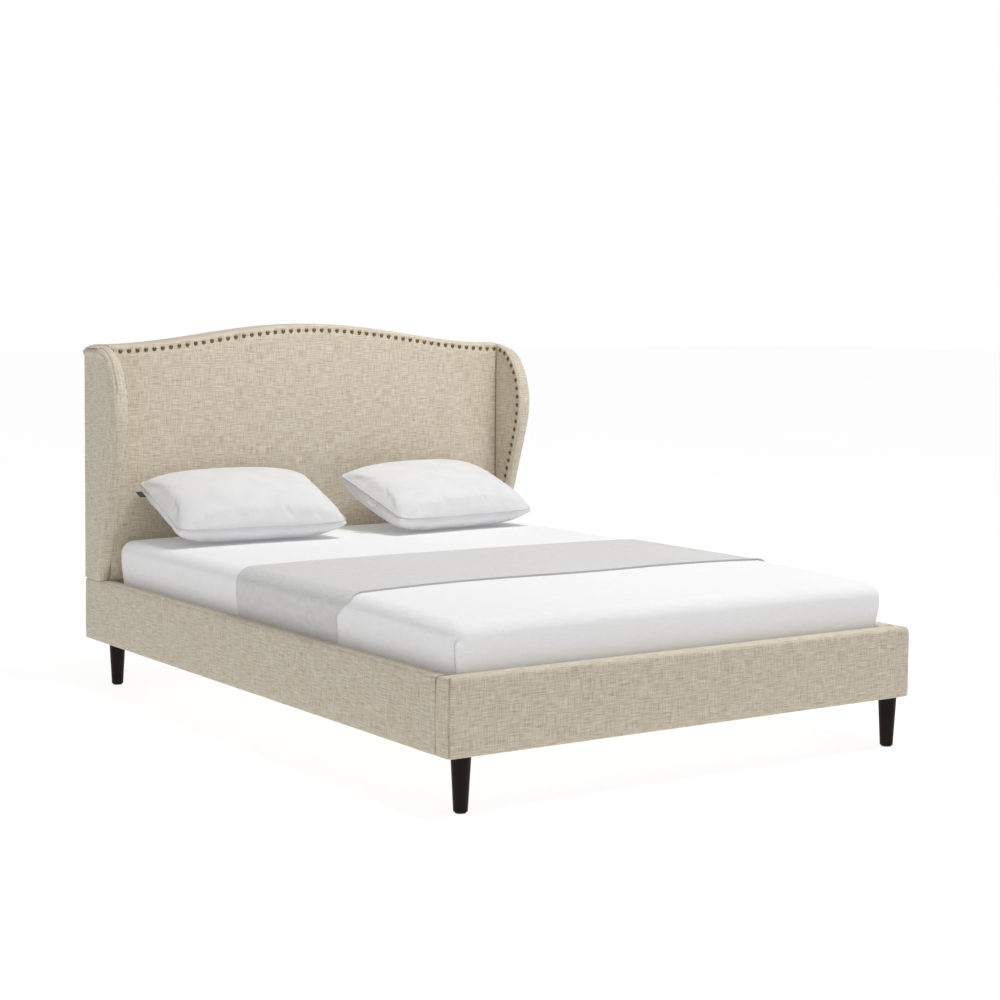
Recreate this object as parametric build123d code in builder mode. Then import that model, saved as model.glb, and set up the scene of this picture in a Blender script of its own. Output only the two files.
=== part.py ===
from build123d import *
import os
from math import cos, pi

# Queen-size upholstered bed: a padded box of four rails on turned legs, a slatted base with a
# centre beam, a camel-back headboard between two flared wings, a mattress, bedding and pillows.
# Millimetres. X runs across the bed, +Y to the head, +Z up; the origin is on the floor under the
# middle of the frame.

# ---------------------------------------------------------------- driving dimensions
bed_length = 2250  # foot face to back face
frame_width = 1640  # over the two side rails
rail_bottom = 148  # height of the legs
rail_top = 355
fabric = 1.5  # upholstery linen with its backing
seam = 0.5  # gap left where two upholstered parts meet

side_rail_width = 50
foot_rail_width = 62
head_rail_width = 50
rail_padding = 10  # foam on the outer face and the top
foot_padding = 12
rail_edge_radius = 10
foot_corner_radius = 14

headboard_depth = 133
headboard_step = 11  # its ends stand this far above the wings
headboard_rise = 70
headboard_foam_depth = 35
front_board_thickness = 12
back_board_thickness = 3
frame_timber = 60
stud_width = 45
stud_count = 5
headboard_edge_radius = 18

wing_top = 1139
wing_thickness = 30  # at the back
wing_flare = 18  # how far the wing's front edge stands out past the frame
wing_board = 15
wing_inner_foam = 3
wing_edge_radius = 11

nail_radius = 7.5
nail_height = 4
nail_shank_radius = 1
nail_shank_length = 14
nail_line_drop = 21  # nails below the headboard's top edge
nail_line_inset = 15  # nails behind the wing's front edge
nail_pitch = 31.5
nail_end_gap = nail_radius + 2  # first nail's axis from the corner

post_width = 90
post_top = 760
post_bolt_margin = 55  # bolts from the rail's lower and upper edges

leg_top_radius = 27
leg_bottom_radius = 19
leg_edge_radius = 2.5
leg_side_offset = 8  # leg axis inside the side rail's inner face
leg_head_inset = 130
glide_height = 3
glide_radius = 15
leg_bolt_radius = 4

slat_count = 13
slat_width = 70
slat_thickness = 18
slat_side_gap = 2
slat_end_gap = 20  # first slat to the foot rail, and last slat to the posts
slat_drop = 77  # slat tops below the rail tops
ledge_size = 25
strap_width = 30
strap_thickness = 1.2
beam_size = 40
centre_leg_radius = 20
centre_leg_count = 3

mattress_side_gap = 10
mattress_head_gap = 18
mattress_thickness = 217
mattress_edge_radius = 42
sheet_thickness = 1.5
coverlet_thickness = 2
tuck_height = 18  # sheets end this far above the mattress's underside
coverlet_reach = 1169  # from the mattress's foot to where the coverlet is folded back
turnback_length = 603  # of the part folded back
bedding_gap = 1.5  # bedding to foot rail, and mattress to slats

pillow_width = 630
pillow_depth = 410
pillow_thickness = 165
pillow_tilt = 20
pillow_gap = 2.5  # above the sheet
pillow_back_gap = nail_height + 1.5  # so that a pillow lifts past the nail heads
label_length = 42
label_width = 22
label_thickness = 1.0

# ---------------------------------------------------------------- places worked out from them
x_outer = frame_width / 2
x_rail = x_outer - side_rail_width
y_foot = -bed_length / 2
y_back = bed_length / 2
y_foot_rail = y_foot + foot_rail_width
y_head_rail = y_back - head_rail_width

y_face = y_back - headboard_depth
y_foam = y_face + fabric
y_front_board = y_foam + headboard_foam_depth
y_frame = y_front_board + front_board_thickness
y_back_board = y_back - fabric - back_board_thickness
headboard_bottom = rail_top + 2 * seam
headboard_end_top = wing_top + headboard_step
x_wing = x_outer - wing_thickness
x_headboard = x_wing - seam

slat_top = rail_top - slat_drop
slat_bottom = slat_top - slat_thickness
mattress_bottom = slat_top + strap_thickness + bedding_gap
mattress_foot = y_foot_rail + bedding_gap + sheet_thickness + 2 * coverlet_thickness
mattress_width = 2 * (x_rail - mattress_side_gap)
mattress_length = y_face - mattress_head_gap - mattress_foot
mattress_top = mattress_bottom + mattress_thickness
fold_line = mattress_foot + coverlet_reach
hem_line = fold_line - turnback_length


os.makedirs("parts", exist_ok=True)


def save(builder, name):
    """Label a finished piece and write it as one STEP file."""
    builder.part.label = name
    export_step(builder.part, f"parts/{name}.step")


def save_mirrored(builder, name):
    """Write the piece's mirror image on the other side of the bed."""
    with BuildPart() as twin:
        mirror(builder.part, about=Plane.YZ)
    save(twin, name)


def block(x_range, y_range, z_range, mode=Mode.ADD):
    """A plain block between two corners."""
    sizes = [high - low for low, high in (x_range, y_range, z_range)]
    middle = [(high + low) / 2 for low, high in (x_range, y_range, z_range)]
    with Locations(tuple(middle)):
        Box(*sizes, mode=mode)


def rail_section(low, high, top, top_radius, mode=Mode.ADD):
    """Rail section from low to high across and from the rail's underside up, top corners rounded."""
    with BuildSketch(Plane.XY, mode=Mode.PRIVATE) as section:
        with Locations(((low + high) / 2, (rail_bottom + top) / 2)):
            Rectangle(high - low, top - rail_bottom)
        fillet(section.vertices().group_by(Axis.Y)[-1], top_radius)
    add(section.sketch, mode=mode)


# ---------------------------------------------------------------- side rails
# A 37 mm laminated board with foam on its outer face and top, under one wrap of linen that is
# stapled along the underside. The rails run from the foot rail to the very back of the bed.
side_length = y_back - y_foot_rail - seam
x_board = x_rail + fabric
x_board_out = x_outer - fabric - rail_padding
board_top = rail_top - fabric - rail_padding

with BuildPart() as side_cover:
    with BuildSketch(Plane.XZ.offset(-y_back)):
        rail_section(x_rail, x_outer, rail_top, rail_edge_radius)
    extrude(amount=side_length)
    with BuildSketch(Plane.XZ.offset(-(y_back - fabric))):
        rail_section(x_board, x_outer - fabric, rail_top - fabric, rail_edge_radius - fabric)
    extrude(amount=side_length, mode=Mode.SUBTRACT)
save(side_cover, "side_rail_cover_right")
save_mirrored(side_cover, "side_rail_cover_left")

with BuildPart() as side_foam:
    with BuildSketch(Plane.XZ.offset(-(y_back - fabric))):
        rail_section(x_board, x_outer - fabric, rail_top - fabric, rail_edge_radius - fabric)
        with Locations(((x_board + x_board_out) / 2, (rail_bottom + board_top) / 2)):
            Rectangle(x_board_out - x_board, board_top - rail_bottom, mode=Mode.SUBTRACT)
    extrude(amount=side_length - fabric)
save(side_foam, "side_rail_foam_right")
save_mirrored(side_foam, "side_rail_foam_left")

with BuildPart() as side_board:
    y_range = (y_foot_rail + seam, y_back - fabric)
    block((x_board, x_board_out), y_range, (rail_bottom, board_top))
save(side_board, "side_rail_board_right")
save_mirrored(side_board, "side_rail_board_left")

# ---------------------------------------------------------------- foot rail
# The foot rail runs the full width, so the side rails butt against its back. Its corners are
# rounded over the padding, and it is open underneath where the legs are fixed to its board.


def foot_block(inset):
    """The foot rail's outer form drawn in by inset on every face but the underside."""
    x_half = x_outer - inset
    block((-x_half, x_half), (y_foot + inset, y_foot_rail - inset), (rail_bottom, rail_top - inset))
    uprights = edges().filter_by(Axis.Z)
    fillet(uprights.group_by(Axis.Y)[0], foot_corner_radius - inset)
    rims = faces().sort_by(Axis.Z)[-1].edges()
    fillet(rims, rail_edge_radius - inset)


with BuildPart() as foot_inside:
    foot_block(fabric)

with BuildPart() as foot_cover:
    foot_block(0)
    add(foot_inside.part, mode=Mode.SUBTRACT)
save(foot_cover, "foot_rail_cover")

foot_board_x = x_outer - fabric - foot_padding
foot_board_y = (y_foot + fabric + foot_padding, y_foot_rail - fabric)
foot_board_top = rail_top - fabric - foot_padding

with BuildPart() as foot_foam:
    add(foot_inside.part)
    x_range = (-foot_board_x, foot_board_x)
    block(x_range, foot_board_y, (rail_bottom, foot_board_top), mode=Mode.SUBTRACT)
save(foot_foam, "foot_rail_foam")

with BuildPart() as foot_board:
    block(x_range, foot_board_y, (rail_bottom, foot_board_top))
save(foot_board, "foot_rail_board")

# ---------------------------------------------------------------- head rail
# The fourth rail closes the back between the side rails, made like them.
head_half = x_rail - seam
head_board_y = (y_head_rail + fabric, y_back - fabric - rail_padding)

with BuildPart() as head_cover:
    with BuildSketch(Plane.YZ.offset(-head_half)):
        rail_section(y_head_rail, y_back, rail_top, rail_edge_radius)
        inner_top = rail_top - fabric
        inner_radius = rail_edge_radius - fabric
        rail_section(y_head_rail + fabric, y_back - fabric, inner_top, inner_radius, Mode.SUBTRACT)
    extrude(amount=2 * head_half)
save(head_cover, "head_rail_cover")

with BuildPart() as head_foam:
    with BuildSketch(Plane.YZ.offset(-head_half)):
        rail_section(y_head_rail + fabric, y_back - fabric, inner_top, inner_radius)
        with Locations((sum(head_board_y) / 2, (rail_bottom + board_top) / 2)):
            board_depth = head_board_y[1] - head_board_y[0]
            Rectangle(board_depth, board_top - rail_bottom, mode=Mode.SUBTRACT)
    extrude(amount=2 * head_half)
save(head_foam, "head_rail_foam")

with BuildPart() as head_board:
    block((-head_half, head_half), head_board_y, (rail_bottom, board_top))
save(head_board, "head_rail_board")

# ---------------------------------------------------------------- headboard
# Its top edge is one full wave of a cosine: highest in the middle and level again at the wings.
arch_steps = 12


def arch_height(x):
    """Height of the headboard's top edge at distance x from the middle."""
    return headboard_end_top + headboard_rise * (1 + cos(pi * x / x_headboard)) / 2


def arch_line(inset, drop):
    """The top edge as a spline, drawn in by inset and lowered by drop."""
    half = x_headboard - inset
    stations = [half * (2 * i / arch_steps - 1) for i in range(arch_steps + 1)]
    points = [(x, arch_height(x) - inset - drop) for x in stations]
    return Spline(*points, tangents=((1, 0), (1, 0)))


def arch_face(inset, drop=0):
    """The face under the top edge, with x across the bed and y up."""
    half = x_headboard - inset
    low = headboard_bottom + inset
    with BuildSketch(mode=Mode.PRIVATE) as outline:
        with BuildLine():
            top = arch_line(inset, drop)
            Polyline(top @ 0, (-half, low), (half, low), top @ 1)
        make_face()
    return outline.sketch


def arch_slab(inset, y_front, y_rear):
    """A slab of the arched outline between two planes across the bed."""
    with BuildSketch(Plane.XZ.offset(-y_rear)) as outline:
        add(arch_face(inset))
    extrude(outline.sketch, amount=y_rear - y_front)


def round_front_top(y_front, radius):
    """Round the arched edge along the front of a slab."""
    front = faces().filter_by(Axis.Y).sort_by(Axis.Y)[0]
    fillet(front.edges().sort_by(Axis.Z)[-1], radius)


post_x = (x_headboard - stud_width) / 4 * 3
post_range_y = (y_frame, y_head_rail - seam)


def post_slots():
    """Clear the two timber posts that pass up through the underside."""
    for side in (-1, 1):
        low, high = side * post_x - post_width / 2 - seam, side * post_x + post_width / 2 + seam
        z_range = (headboard_bottom - 1, headboard_bottom + fabric + frame_timber + 1)
        y_range = (post_range_y[0] - seam, post_range_y[1] + seam)
        block((low, high), y_range, z_range, mode=Mode.SUBTRACT)


with BuildPart() as headboard_inside:
    arch_slab(fabric, y_foam, y_back)
    round_front_top(y_foam, headboard_edge_radius - fabric)

with BuildPart() as headboard_cover:
    arch_slab(0, y_face, y_back - fabric)
    round_front_top(y_face, headboard_edge_radius)
    add(headboard_inside.part, mode=Mode.SUBTRACT)
    post_slots()
save(headboard_cover, "headboard_cover")

with BuildPart() as headboard_foam:
    arch_slab(fabric, y_foam, y_front_board)
    round_front_top(y_foam, headboard_edge_radius - fabric)
save(headboard_foam, "headboard_foam")

with BuildPart() as headboard_front_board:
    arch_slab(fabric, y_front_board, y_frame)
save(headboard_front_board, "headboard_front_board")

frame_depth = y_back_board - y_frame
bottom_rail_z = (headboard_bottom + fabric, headboard_bottom + fabric + frame_timber)

with BuildPart() as headboard_top_rail:
    with BuildSketch(Plane.XZ.offset(-y_back_board)):
        add(arch_face(fabric))
        add(arch_face(fabric, drop=frame_timber), mode=Mode.SUBTRACT)
    extrude(amount=frame_depth)
save(headboard_top_rail, "headboard_top_rail")

with BuildPart() as headboard_bottom_rail:
    half = x_headboard - fabric
    block((-half, half), (y_frame, y_back_board), bottom_rail_z)
    post_slots()
save(headboard_bottom_rail, "headboard_bottom_rail")

stud_pitch = (2 * (x_headboard - fabric) - stud_width) / (stud_count - 1)

with BuildPart() as headboard_studs:
    with BuildSketch(Plane.XZ.offset(-y_back_board)):
        stud_bottom = bottom_rail_z[1]
        with Locations((0, stud_bottom + headboard_end_top / 2)):
            with GridLocations(stud_pitch, 1, stud_count, 1):
                Rectangle(stud_width, headboard_end_top)
        add(arch_face(fabric, drop=frame_timber), mode=Mode.INTERSECT)
    extrude(amount=frame_depth)
save(headboard_studs, "headboard_studs")

with BuildPart() as headboard_posts:
    for side in (-1, 1):
        x_range = (side * post_x - post_width / 2, side * post_x + post_width / 2)
        block(x_range, post_range_y, (rail_bottom + ledge_size, post_top))
save(headboard_posts, "headboard_posts")

with BuildPart() as headboard_back_board:
    arch_slab(fabric, y_back_board, y_back - fabric)
save(headboard_back_board, "headboard_back_board")

with BuildPart() as headboard_back_cloth:
    arch_slab(0, y_back - fabric, y_back)
save(headboard_back_cloth, "headboard_back_cloth")

# ---------------------------------------------------------------- wings
# Each wing stands on its side rail. Its inner face is square to the headboard; its outer face
# flares towards the foot, so the padding is thickest along the front edge. The front edge leans
# out in a straight line, swells to its fullest at pillow height and turns over to the top.
wing_foot_depth = 125  # front to back where it meets the rail
wing_full_depth = 287  # front to back at its fullest
wing_full_drop = 204  # all drops are below the wing's top
wing_lean_depth = 262
wing_lean_drop = 339
wing_shoulder_depth = 255
wing_shoulder_drop = 82
wing_turn_depth = 202
wing_turn_drop = 21
wing_flat_depth = 112  # length of the level top edge


def wing_front(inset):
    """The front and top edges of a wing, drawn in by inset, in the plane of Y and Z."""
    most, least = 0.85 * inset, 0.5 * inset  # the inset along Y and Z where the edge turns over
    shoulder_y = y_back - wing_shoulder_depth
    turn_y = y_back - wing_turn_depth
    foot = (y_back - wing_foot_depth + inset, headboard_bottom + inset)
    lean = (y_back - wing_lean_depth + inset, wing_top - wing_lean_drop)
    full = (y_back - wing_full_depth + inset, wing_top - wing_full_drop)
    shoulder = (shoulder_y + most, wing_top - wing_shoulder_drop - least)
    turn = (turn_y + least, wing_top - wing_turn_drop - most)
    top = (y_back - wing_flat_depth, wing_top - inset)
    lower = Line(foot, lean)
    curve = Spline(lean, full, shoulder, turn, top, tangents=(lower % 1, (1, 0)))
    return lower, curve


def wing_block(inset, inner_inset):
    """The right wing's padded form, drawn in by inset and by inner_inset on its inner face."""
    back = y_back - inset
    x_in = x_wing + inner_inset
    with BuildSketch(Plane.YZ.offset(x_in)) as side_view:
        with BuildLine():
            lower, curve = wing_front(inset)
            Polyline(curve @ 1, (back, wing_top - inset), (back, (lower @ 0).Y), lower @ 0)
        make_face()
    extrude(side_view.sketch, amount=x_outer + wing_flare - x_in)
    front = y_back - wing_full_depth
    with BuildSketch(Plane.XY.offset(rail_top)) as top_view:
        with BuildLine():
            x_front = x_outer + wing_flare - inset
            corner = (x_in, front - 1)
            Polyline(corner, (x_front, front - 1), (x_outer - inset, y_back), (x_in, y_back), corner)
        make_face()
    extrude(top_view.sketch, amount=wing_top, mode=Mode.INTERSECT)
    rims = edges().filter_by(lambda e: abs(e.center().Y - y_back) > inset + 1)
    rims = rims.filter_by(lambda e: e.center().Z > headboard_bottom + inset + 1)
    rims = rims.filter_by(lambda e: abs((e % 0.5).X) < 0.9)
    fillet(rims, wing_edge_radius - inset)


with BuildPart() as wing_inside:
    wing_block(fabric, fabric)

with BuildPart() as wing_cover:
    wing_block(0, 0)
    add(wing_inside.part, mode=Mode.SUBTRACT)
save(wing_cover, "wing_cover_right")
save_mirrored(wing_cover, "wing_cover_left")

wing_board_x = x_wing + fabric + wing_inner_foam
wing_board_inset = 12

with BuildPart() as wing_core:
    with BuildSketch(Plane.YZ.offset(wing_board_x)):
        with BuildLine():
            lower, curve = wing_front(wing_board_inset)
            rear = y_back - fabric
            Polyline(curve @ 1, (rear, (curve @ 1).Y), (rear, (lower @ 0).Y), lower @ 0)
        make_face()
    extrude(amount=wing_board)
save(wing_core, "wing_board_right")
save_mirrored(wing_core, "wing_board_left")

with BuildPart() as wing_foam:
    add(wing_inside.part)
    add(wing_core.part, mode=Mode.SUBTRACT)
save(wing_foam, "wing_foam_right")
save_mirrored(wing_foam, "wing_foam_left")

# ---------------------------------------------------------------- nail-head trim
# Domed upholstery nails, evenly pitched along the headboard's top edge and the wings' front edges.


# The nail's head stands on its face and points along +Z, with the shank behind it.
with BuildPart() as nail:
    with BuildSketch(Plane.XZ):
        with BuildLine():
            dome_middle = (nail_radius * 0.7, nail_height * 0.62)
            dome = ThreePointArc((0, nail_height), dome_middle, (nail_radius, 0))
            shank = (nail_shank_radius, -nail_shank_length)
            Polyline(dome @ 1, (nail_shank_radius, 0), shank, (0, -nail_shank_length), dome @ 0)
        make_face()
    revolve(axis=Axis.Z)


def driven(blank, places, direction):
    """Copies of a blank part, each with its +Z turned to direction at its own place."""
    return [Plane(origin=place, z_dir=direction).location * blank.part for place in places]


def even_places(edge, margin, pitch):
    """Fractions along an edge that are evenly spaced, margin from both ends and about pitch apart."""
    span = edge.length - 2 * margin
    count = round(span / pitch)
    return [(margin + span * i / count) / edge.length for i in range(count + 1)]


with BuildLine(mode=Mode.PRIVATE) as nail_path:
    arch_line(0, nail_line_drop)
arch_edge = nail_path.edges()[0]

arch_spots = [arch_edge @ place for place in even_places(arch_edge, nail_end_gap, nail_pitch)]
arch_halves = {
    "left": [spot for spot in arch_spots if spot.X < nail_pitch / 2],
    "right": [spot for spot in arch_spots if spot.X > nail_pitch / 2],
}
for side, spots in arch_halves.items():
    with BuildPart() as arch_nails:
        add(driven(nail, [(spot.X, y_face, spot.Y) for spot in spots], (0, -1, 0)))
    save(arch_nails, f"headboard_nails_{side}")

with BuildLine(mode=Mode.PRIVATE) as wing_path:
    wing_front(nail_line_inset)
wing_wire = wing_path.wires()[0]
wing_nail_back = y_face - nail_end_gap
wing_nail_low = rail_top + 2 * nail_pitch

wing_spots = [wing_wire @ place for place in even_places(wing_wire, nail_line_inset, nail_pitch)]
wing_spots = [spot for spot in wing_spots if spot.X < wing_nail_back and spot.Y > wing_nail_low]
with BuildPart() as wing_nails:
    add(driven(nail, [(x_wing, spot.X, spot.Y) for spot in wing_spots], (-1, 0, 0)))
save(wing_nails, "wing_nails_right")
save_mirrored(wing_nails, "wing_nails_left")

# ---------------------------------------------------------------- corner blocks and legs
block_height = 40
block_width = 75
foot_block_length = 70
head_block_margin = 40  # timber in front of the head leg's axis
corner_gap = seam
foot_block_y = (y_foot_rail + corner_gap, y_foot_rail + foot_block_length)
head_block_y = (y_back - leg_head_inset - head_block_margin, y_head_rail - corner_gap)
block_x = (x_rail - block_width, x_rail - corner_gap)
leg_x = x_rail - leg_side_offset
leg_places = {
    "foot": (y_foot + y_foot_rail) / 2 - 1,
    "head": y_back - leg_head_inset,
}

with BuildPart() as corner_blocks:
    for y_range in (foot_block_y, head_block_y):
        block(block_x, y_range, (rail_bottom, rail_bottom + block_height))
    mirror(about=Plane.YZ)
save(corner_blocks, "corner_blocks")

for end, leg_y in leg_places.items():
    with BuildPart() as leg:
        with Locations((leg_x, leg_y, glide_height)):
            height = rail_bottom - glide_height
            low_centre = (Align.CENTER, Align.CENTER, Align.MIN)
            Cone(leg_bottom_radius, leg_top_radius, height, align=low_centre)
        fillet(edges().sort_by(Axis.Z)[0], leg_edge_radius)
    save(leg, f"leg_{end}_right")
    save_mirrored(leg, f"leg_{end}_left")

with BuildPart() as leg_glides:
    with Locations(*[(leg_x, leg_y, glide_height / 2) for leg_y in leg_places.values()]):
        Cylinder(glide_radius, glide_height)
    mirror(about=Plane.YZ)
save(leg_glides, "leg_glides")

leg_bolt_length = 75
with BuildPart() as leg_bolts:
    with Locations(*[(leg_x, leg_y, rail_bottom) for leg_y in leg_places.values()]):
        Cylinder(leg_bolt_radius, leg_bolt_length)
    mirror(about=Plane.YZ)
save(leg_bolts, "leg_bolts")

# ---------------------------------------------------------------- corner fixings
# An angle bracket in each corner and button-head bolts draw the four rails together.
bracket_thickness = 4
bracket_leg = 60
bracket_z = (rail_bottom + block_height + 2, slat_bottom - ledge_size - 2)
bolt_radius = 3
bolt_clearance = 0.2
bolt_head_radius = 7
bolt_head_height = 3
bolt_length = 34


def bracket(y_face_plane, direction):
    """An angle bracket against the right rail and an end rail, whose face is at y_face_plane."""
    x_face = x_rail - corner_gap
    y_far = y_face_plane + direction * bracket_leg
    y_near = y_face_plane + direction * bracket_thickness
    block((x_face - bracket_thickness, x_face), sorted((y_face_plane, y_far)), bracket_z)
    block((x_face - bracket_leg, x_face), sorted((y_face_plane, y_near)), bracket_z)


def bolt_blank(length):
    """A button-head bolt: its head stands below the origin and its shank runs up +Z."""
    with BuildPart() as blank:
        with BuildSketch():
            Circle(bolt_radius)
        extrude(amount=length)
        with BuildSketch():
            Circle(bolt_head_radius)
        extrude(amount=-bolt_head_height)
        fillet(faces().sort_by(Axis.Z)[0].edges(), bolt_head_height / 2)
    return blank


bolt_far = 42  # bolt axis from the corner, along each leg of the bracket
bracket_mid = sum(bracket_z) / 2
bolt_x = x_rail - corner_gap - bracket_thickness
bolt_foot_y = y_foot_rail + corner_gap
bolt_head_y = y_head_rail - corner_gap

with BuildPart() as bolt_hole:
    Cylinder(bolt_radius + bolt_clearance, 3 * bracket_thickness)

hole_y = (bolt_foot_y + bolt_far, bolt_head_y - bolt_far)
side_holes = [(bolt_x, y, bracket_mid) for y in hole_y]
end_holes = [(x_rail - bolt_far, y, bracket_mid) for y in (bolt_foot_y, bolt_head_y)]
with BuildPart() as corner_brackets:
    bracket(bolt_foot_y, 1)
    bracket(bolt_head_y, -1)
    add(driven(bolt_hole, side_holes, (1, 0, 0)), mode=Mode.SUBTRACT)
    add(driven(bolt_hole, end_holes, (0, 1, 0)), mode=Mode.SUBTRACT)
    mirror(about=Plane.YZ)
save(corner_brackets, "corner_brackets")

frame_bolt = bolt_blank(bolt_length)
with BuildPart() as frame_bolts:
    add(driven(frame_bolt, side_holes, (1, 0, 0)))
    for y_start, along in ((bolt_foot_y, -1), (bolt_head_y, 1)):
        place = (x_rail - bolt_far, y_start - along * bracket_thickness, bracket_mid)
        add(driven(frame_bolt, [place], (0, along, 0)))
    mirror(about=Plane.YZ)
save(frame_bolts, "frame_bolts")

post_bolt_length = head_board_y[1] - post_range_y[0] - bolt_head_height
post_bolt_heights = (rail_bottom + post_bolt_margin, rail_top - post_bolt_margin)
post_bolt_places = [(post_x, post_range_y[0], z) for z in post_bolt_heights]
post_bolt = bolt_blank(post_bolt_length)
with BuildPart() as post_bolts:
    add(driven(post_bolt, post_bolt_places, (0, 1, 0)))
    mirror(about=Plane.YZ)
save(post_bolts, "post_bolts")

# Three bolts hold each wing's board to the headboard's end stud.
wing_bolt_margin = 110  # from the wing's lower and upper edges
wing_bolt_cover = 2  # board left beyond the bolt's end
wing_bolt_x = x_headboard - fabric - stud_width
wing_bolt_length = wing_board_x + wing_board - wing_bolt_cover - wing_bolt_x
wing_bolt_y = (y_frame + y_back_board) / 2
wing_bolt_low, wing_bolt_high = headboard_bottom + wing_bolt_margin, wing_top - wing_bolt_margin
wing_bolt_heights = (wing_bolt_low, (wing_bolt_low + wing_bolt_high) / 2, wing_bolt_high)
wing_bolt = bolt_blank(wing_bolt_length)
with BuildPart() as wing_bolts:
    add(driven(wing_bolt, [(wing_bolt_x, wing_bolt_y, z) for z in wing_bolt_heights], (1, 0, 0)))
    mirror(about=Plane.YZ)
save(wing_bolts, "wing_bolts")

# ---------------------------------------------------------------- slatted base
# Pine slats lie on ledges screwed to the side rails and on a steel beam down the middle, which
# hangs in a shoe on each end rail and stands on three legs. Two woven straps space the slats.
ledge_y = (foot_block_y[0] + 1, y_head_rail - 4 * corner_gap)
ledge_x = (x_rail - corner_gap - ledge_size, x_rail - corner_gap)
ledge_z = (slat_bottom - ledge_size, slat_bottom)

with BuildPart() as slat_ledge:
    block(ledge_x, ledge_y, ledge_z)
save(slat_ledge, "slat_ledge_right")
save_mirrored(slat_ledge, "slat_ledge_left")

screw_count = 7
screw_margin = 80
screw_length = 50
screw_pitch = (ledge_y[1] - ledge_y[0] - 2 * screw_margin) / (screw_count - 1)
screw_y = [ledge_y[0] + screw_margin + i * screw_pitch for i in range(screw_count)]
ledge_screw = bolt_blank(screw_length)
with BuildPart() as ledge_screws:
    add(driven(ledge_screw, [(ledge_x[0], y, sum(ledge_z) / 2) for y in screw_y], (1, 0, 0)))
    mirror(about=Plane.YZ)
save(ledge_screws, "ledge_screws")

beam_wall = 2
shoe_thickness = 3
shoe_depth = 45
shoe_flange = 18
shoe_drop = 8  # the shoe's sides end below the beam's top
beam_end_gap = shoe_thickness + corner_gap
beam_y = (y_foot_rail + corner_gap + beam_end_gap, y_head_rail - corner_gap - beam_end_gap)
beam_z = (slat_bottom - beam_size, slat_bottom)

with BuildPart() as centre_beam:
    half = beam_size / 2
    block((-half, half), beam_y, beam_z)
    inside = half - beam_wall
    block((-inside, inside), beam_y, (beam_z[0] + beam_wall, beam_z[1] - beam_wall), Mode.SUBTRACT)
save(centre_beam, "centre_beam")

with BuildPart() as beam_shoes:
    for y_start, along in ((y_foot_rail + corner_gap, 1), (y_head_rail - corner_gap, -1)):
        plate = sorted((y_start, y_start + along * shoe_thickness))
        tray = sorted((y_start, y_start + along * shoe_depth))
        half = beam_size / 2 + seam
        outer = half + shoe_thickness
        low = beam_z[0] - seam - shoe_thickness
        block((-outer - shoe_flange, outer + shoe_flange), plate, (low, slat_bottom))
        block((-outer, outer), tray, (low, low + shoe_thickness))
        block((-outer, -half), tray, (low, slat_bottom - shoe_drop))
        block((half, outer), tray, (low, slat_bottom - shoe_drop))
save(beam_shoes, "beam_shoes")

with BuildPart() as slats:
    slat_reach = (foot_block_y[0] + slat_end_gap, post_range_y[0] - slat_end_gap)
    slat_pitch = (slat_reach[1] - slat_reach[0] - slat_width) / (slat_count - 1)
    slat_middle = sum(slat_reach) / 2
    with Locations((0, slat_middle, slat_bottom + slat_thickness / 2)):
        with GridLocations(1, slat_pitch, 1, slat_count):
            Box(2 * (x_rail - slat_side_gap), slat_width, slat_thickness)
save(slats, "slats")

with BuildPart() as slat_straps:
    strap_length = slat_pitch * (slat_count - 1) + slat_width
    with Locations((0, slat_middle, slat_top + strap_thickness / 2)):
        with GridLocations(mattress_width / 2, 1, 2, 1):
            Box(strap_width, strap_length, strap_thickness)
save(slat_straps, "slat_straps")

centre_leg_z = (glide_height, beam_z[0])
centre_leg_pitch = (beam_y[1] - beam_y[0]) / (centre_leg_count + 1)
centre_leg_y = [beam_y[0] + centre_leg_pitch * (i + 1) for i in range(centre_leg_count)]
with BuildPart() as centre_legs:
    with Locations(*[(0, y, sum(centre_leg_z) / 2) for y in centre_leg_y]):
        Cylinder(centre_leg_radius, centre_leg_z[1] - centre_leg_z[0])
save(centre_legs, "centre_legs")

with BuildPart() as centre_leg_glides:
    with Locations(*[(0, y, glide_height / 2) for y in centre_leg_y]):
        Cylinder(centre_leg_radius - 2, glide_height)
save(centre_leg_glides, "centre_leg_glides")

# ---------------------------------------------------------------- mattress and bedding
# The mattress lifts off the slats. A fitted sheet covers it; a coverlet is tucked in over the
# foot half and folded back at the fold line, so its grey underside shows down to the hem.


def bed_form(skin, low):
    """The mattress's rounded form grown by skin, from height low up."""
    half = mattress_width / 2 + skin
    y_range = (mattress_foot - skin, mattress_foot + mattress_length + skin)
    radius = mattress_edge_radius + skin
    with BuildPart() as form:
        block((-half, half), y_range, (low, mattress_top + skin))
        fillet(edges().filter_by(Axis.Z), radius)
        fillet(faces().sort_by(Axis.Z)[-1].edges(), radius - 1)
    return form


mattress = bed_form(0, mattress_bottom)
save(mattress, "mattress")

coverlet_skin = sheet_thickness + coverlet_thickness
turnback_skin = coverlet_skin + coverlet_thickness
bedding = {
    "fitted_sheet": (0, sheet_thickness, (y_foot, y_back)),
    "coverlet": (sheet_thickness, coverlet_skin, (y_foot, fold_line)),
    "coverlet_turnback": (coverlet_skin, turnback_skin, (hem_line, fold_line)),
}

for name, (inner_skin, outer_skin, y_range) in bedding.items():
    outside = bed_form(outer_skin, mattress_bottom + tuck_height)
    inside = bed_form(inner_skin, mattress_bottom + tuck_height)
    with BuildPart() as layer:
        add(outside.part)
        add(inside.part, mode=Mode.SUBTRACT)
        block((-frame_width, frame_width), y_range, (0, wing_top), mode=Mode.INTERSECT)
    save(layer, name)

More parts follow.
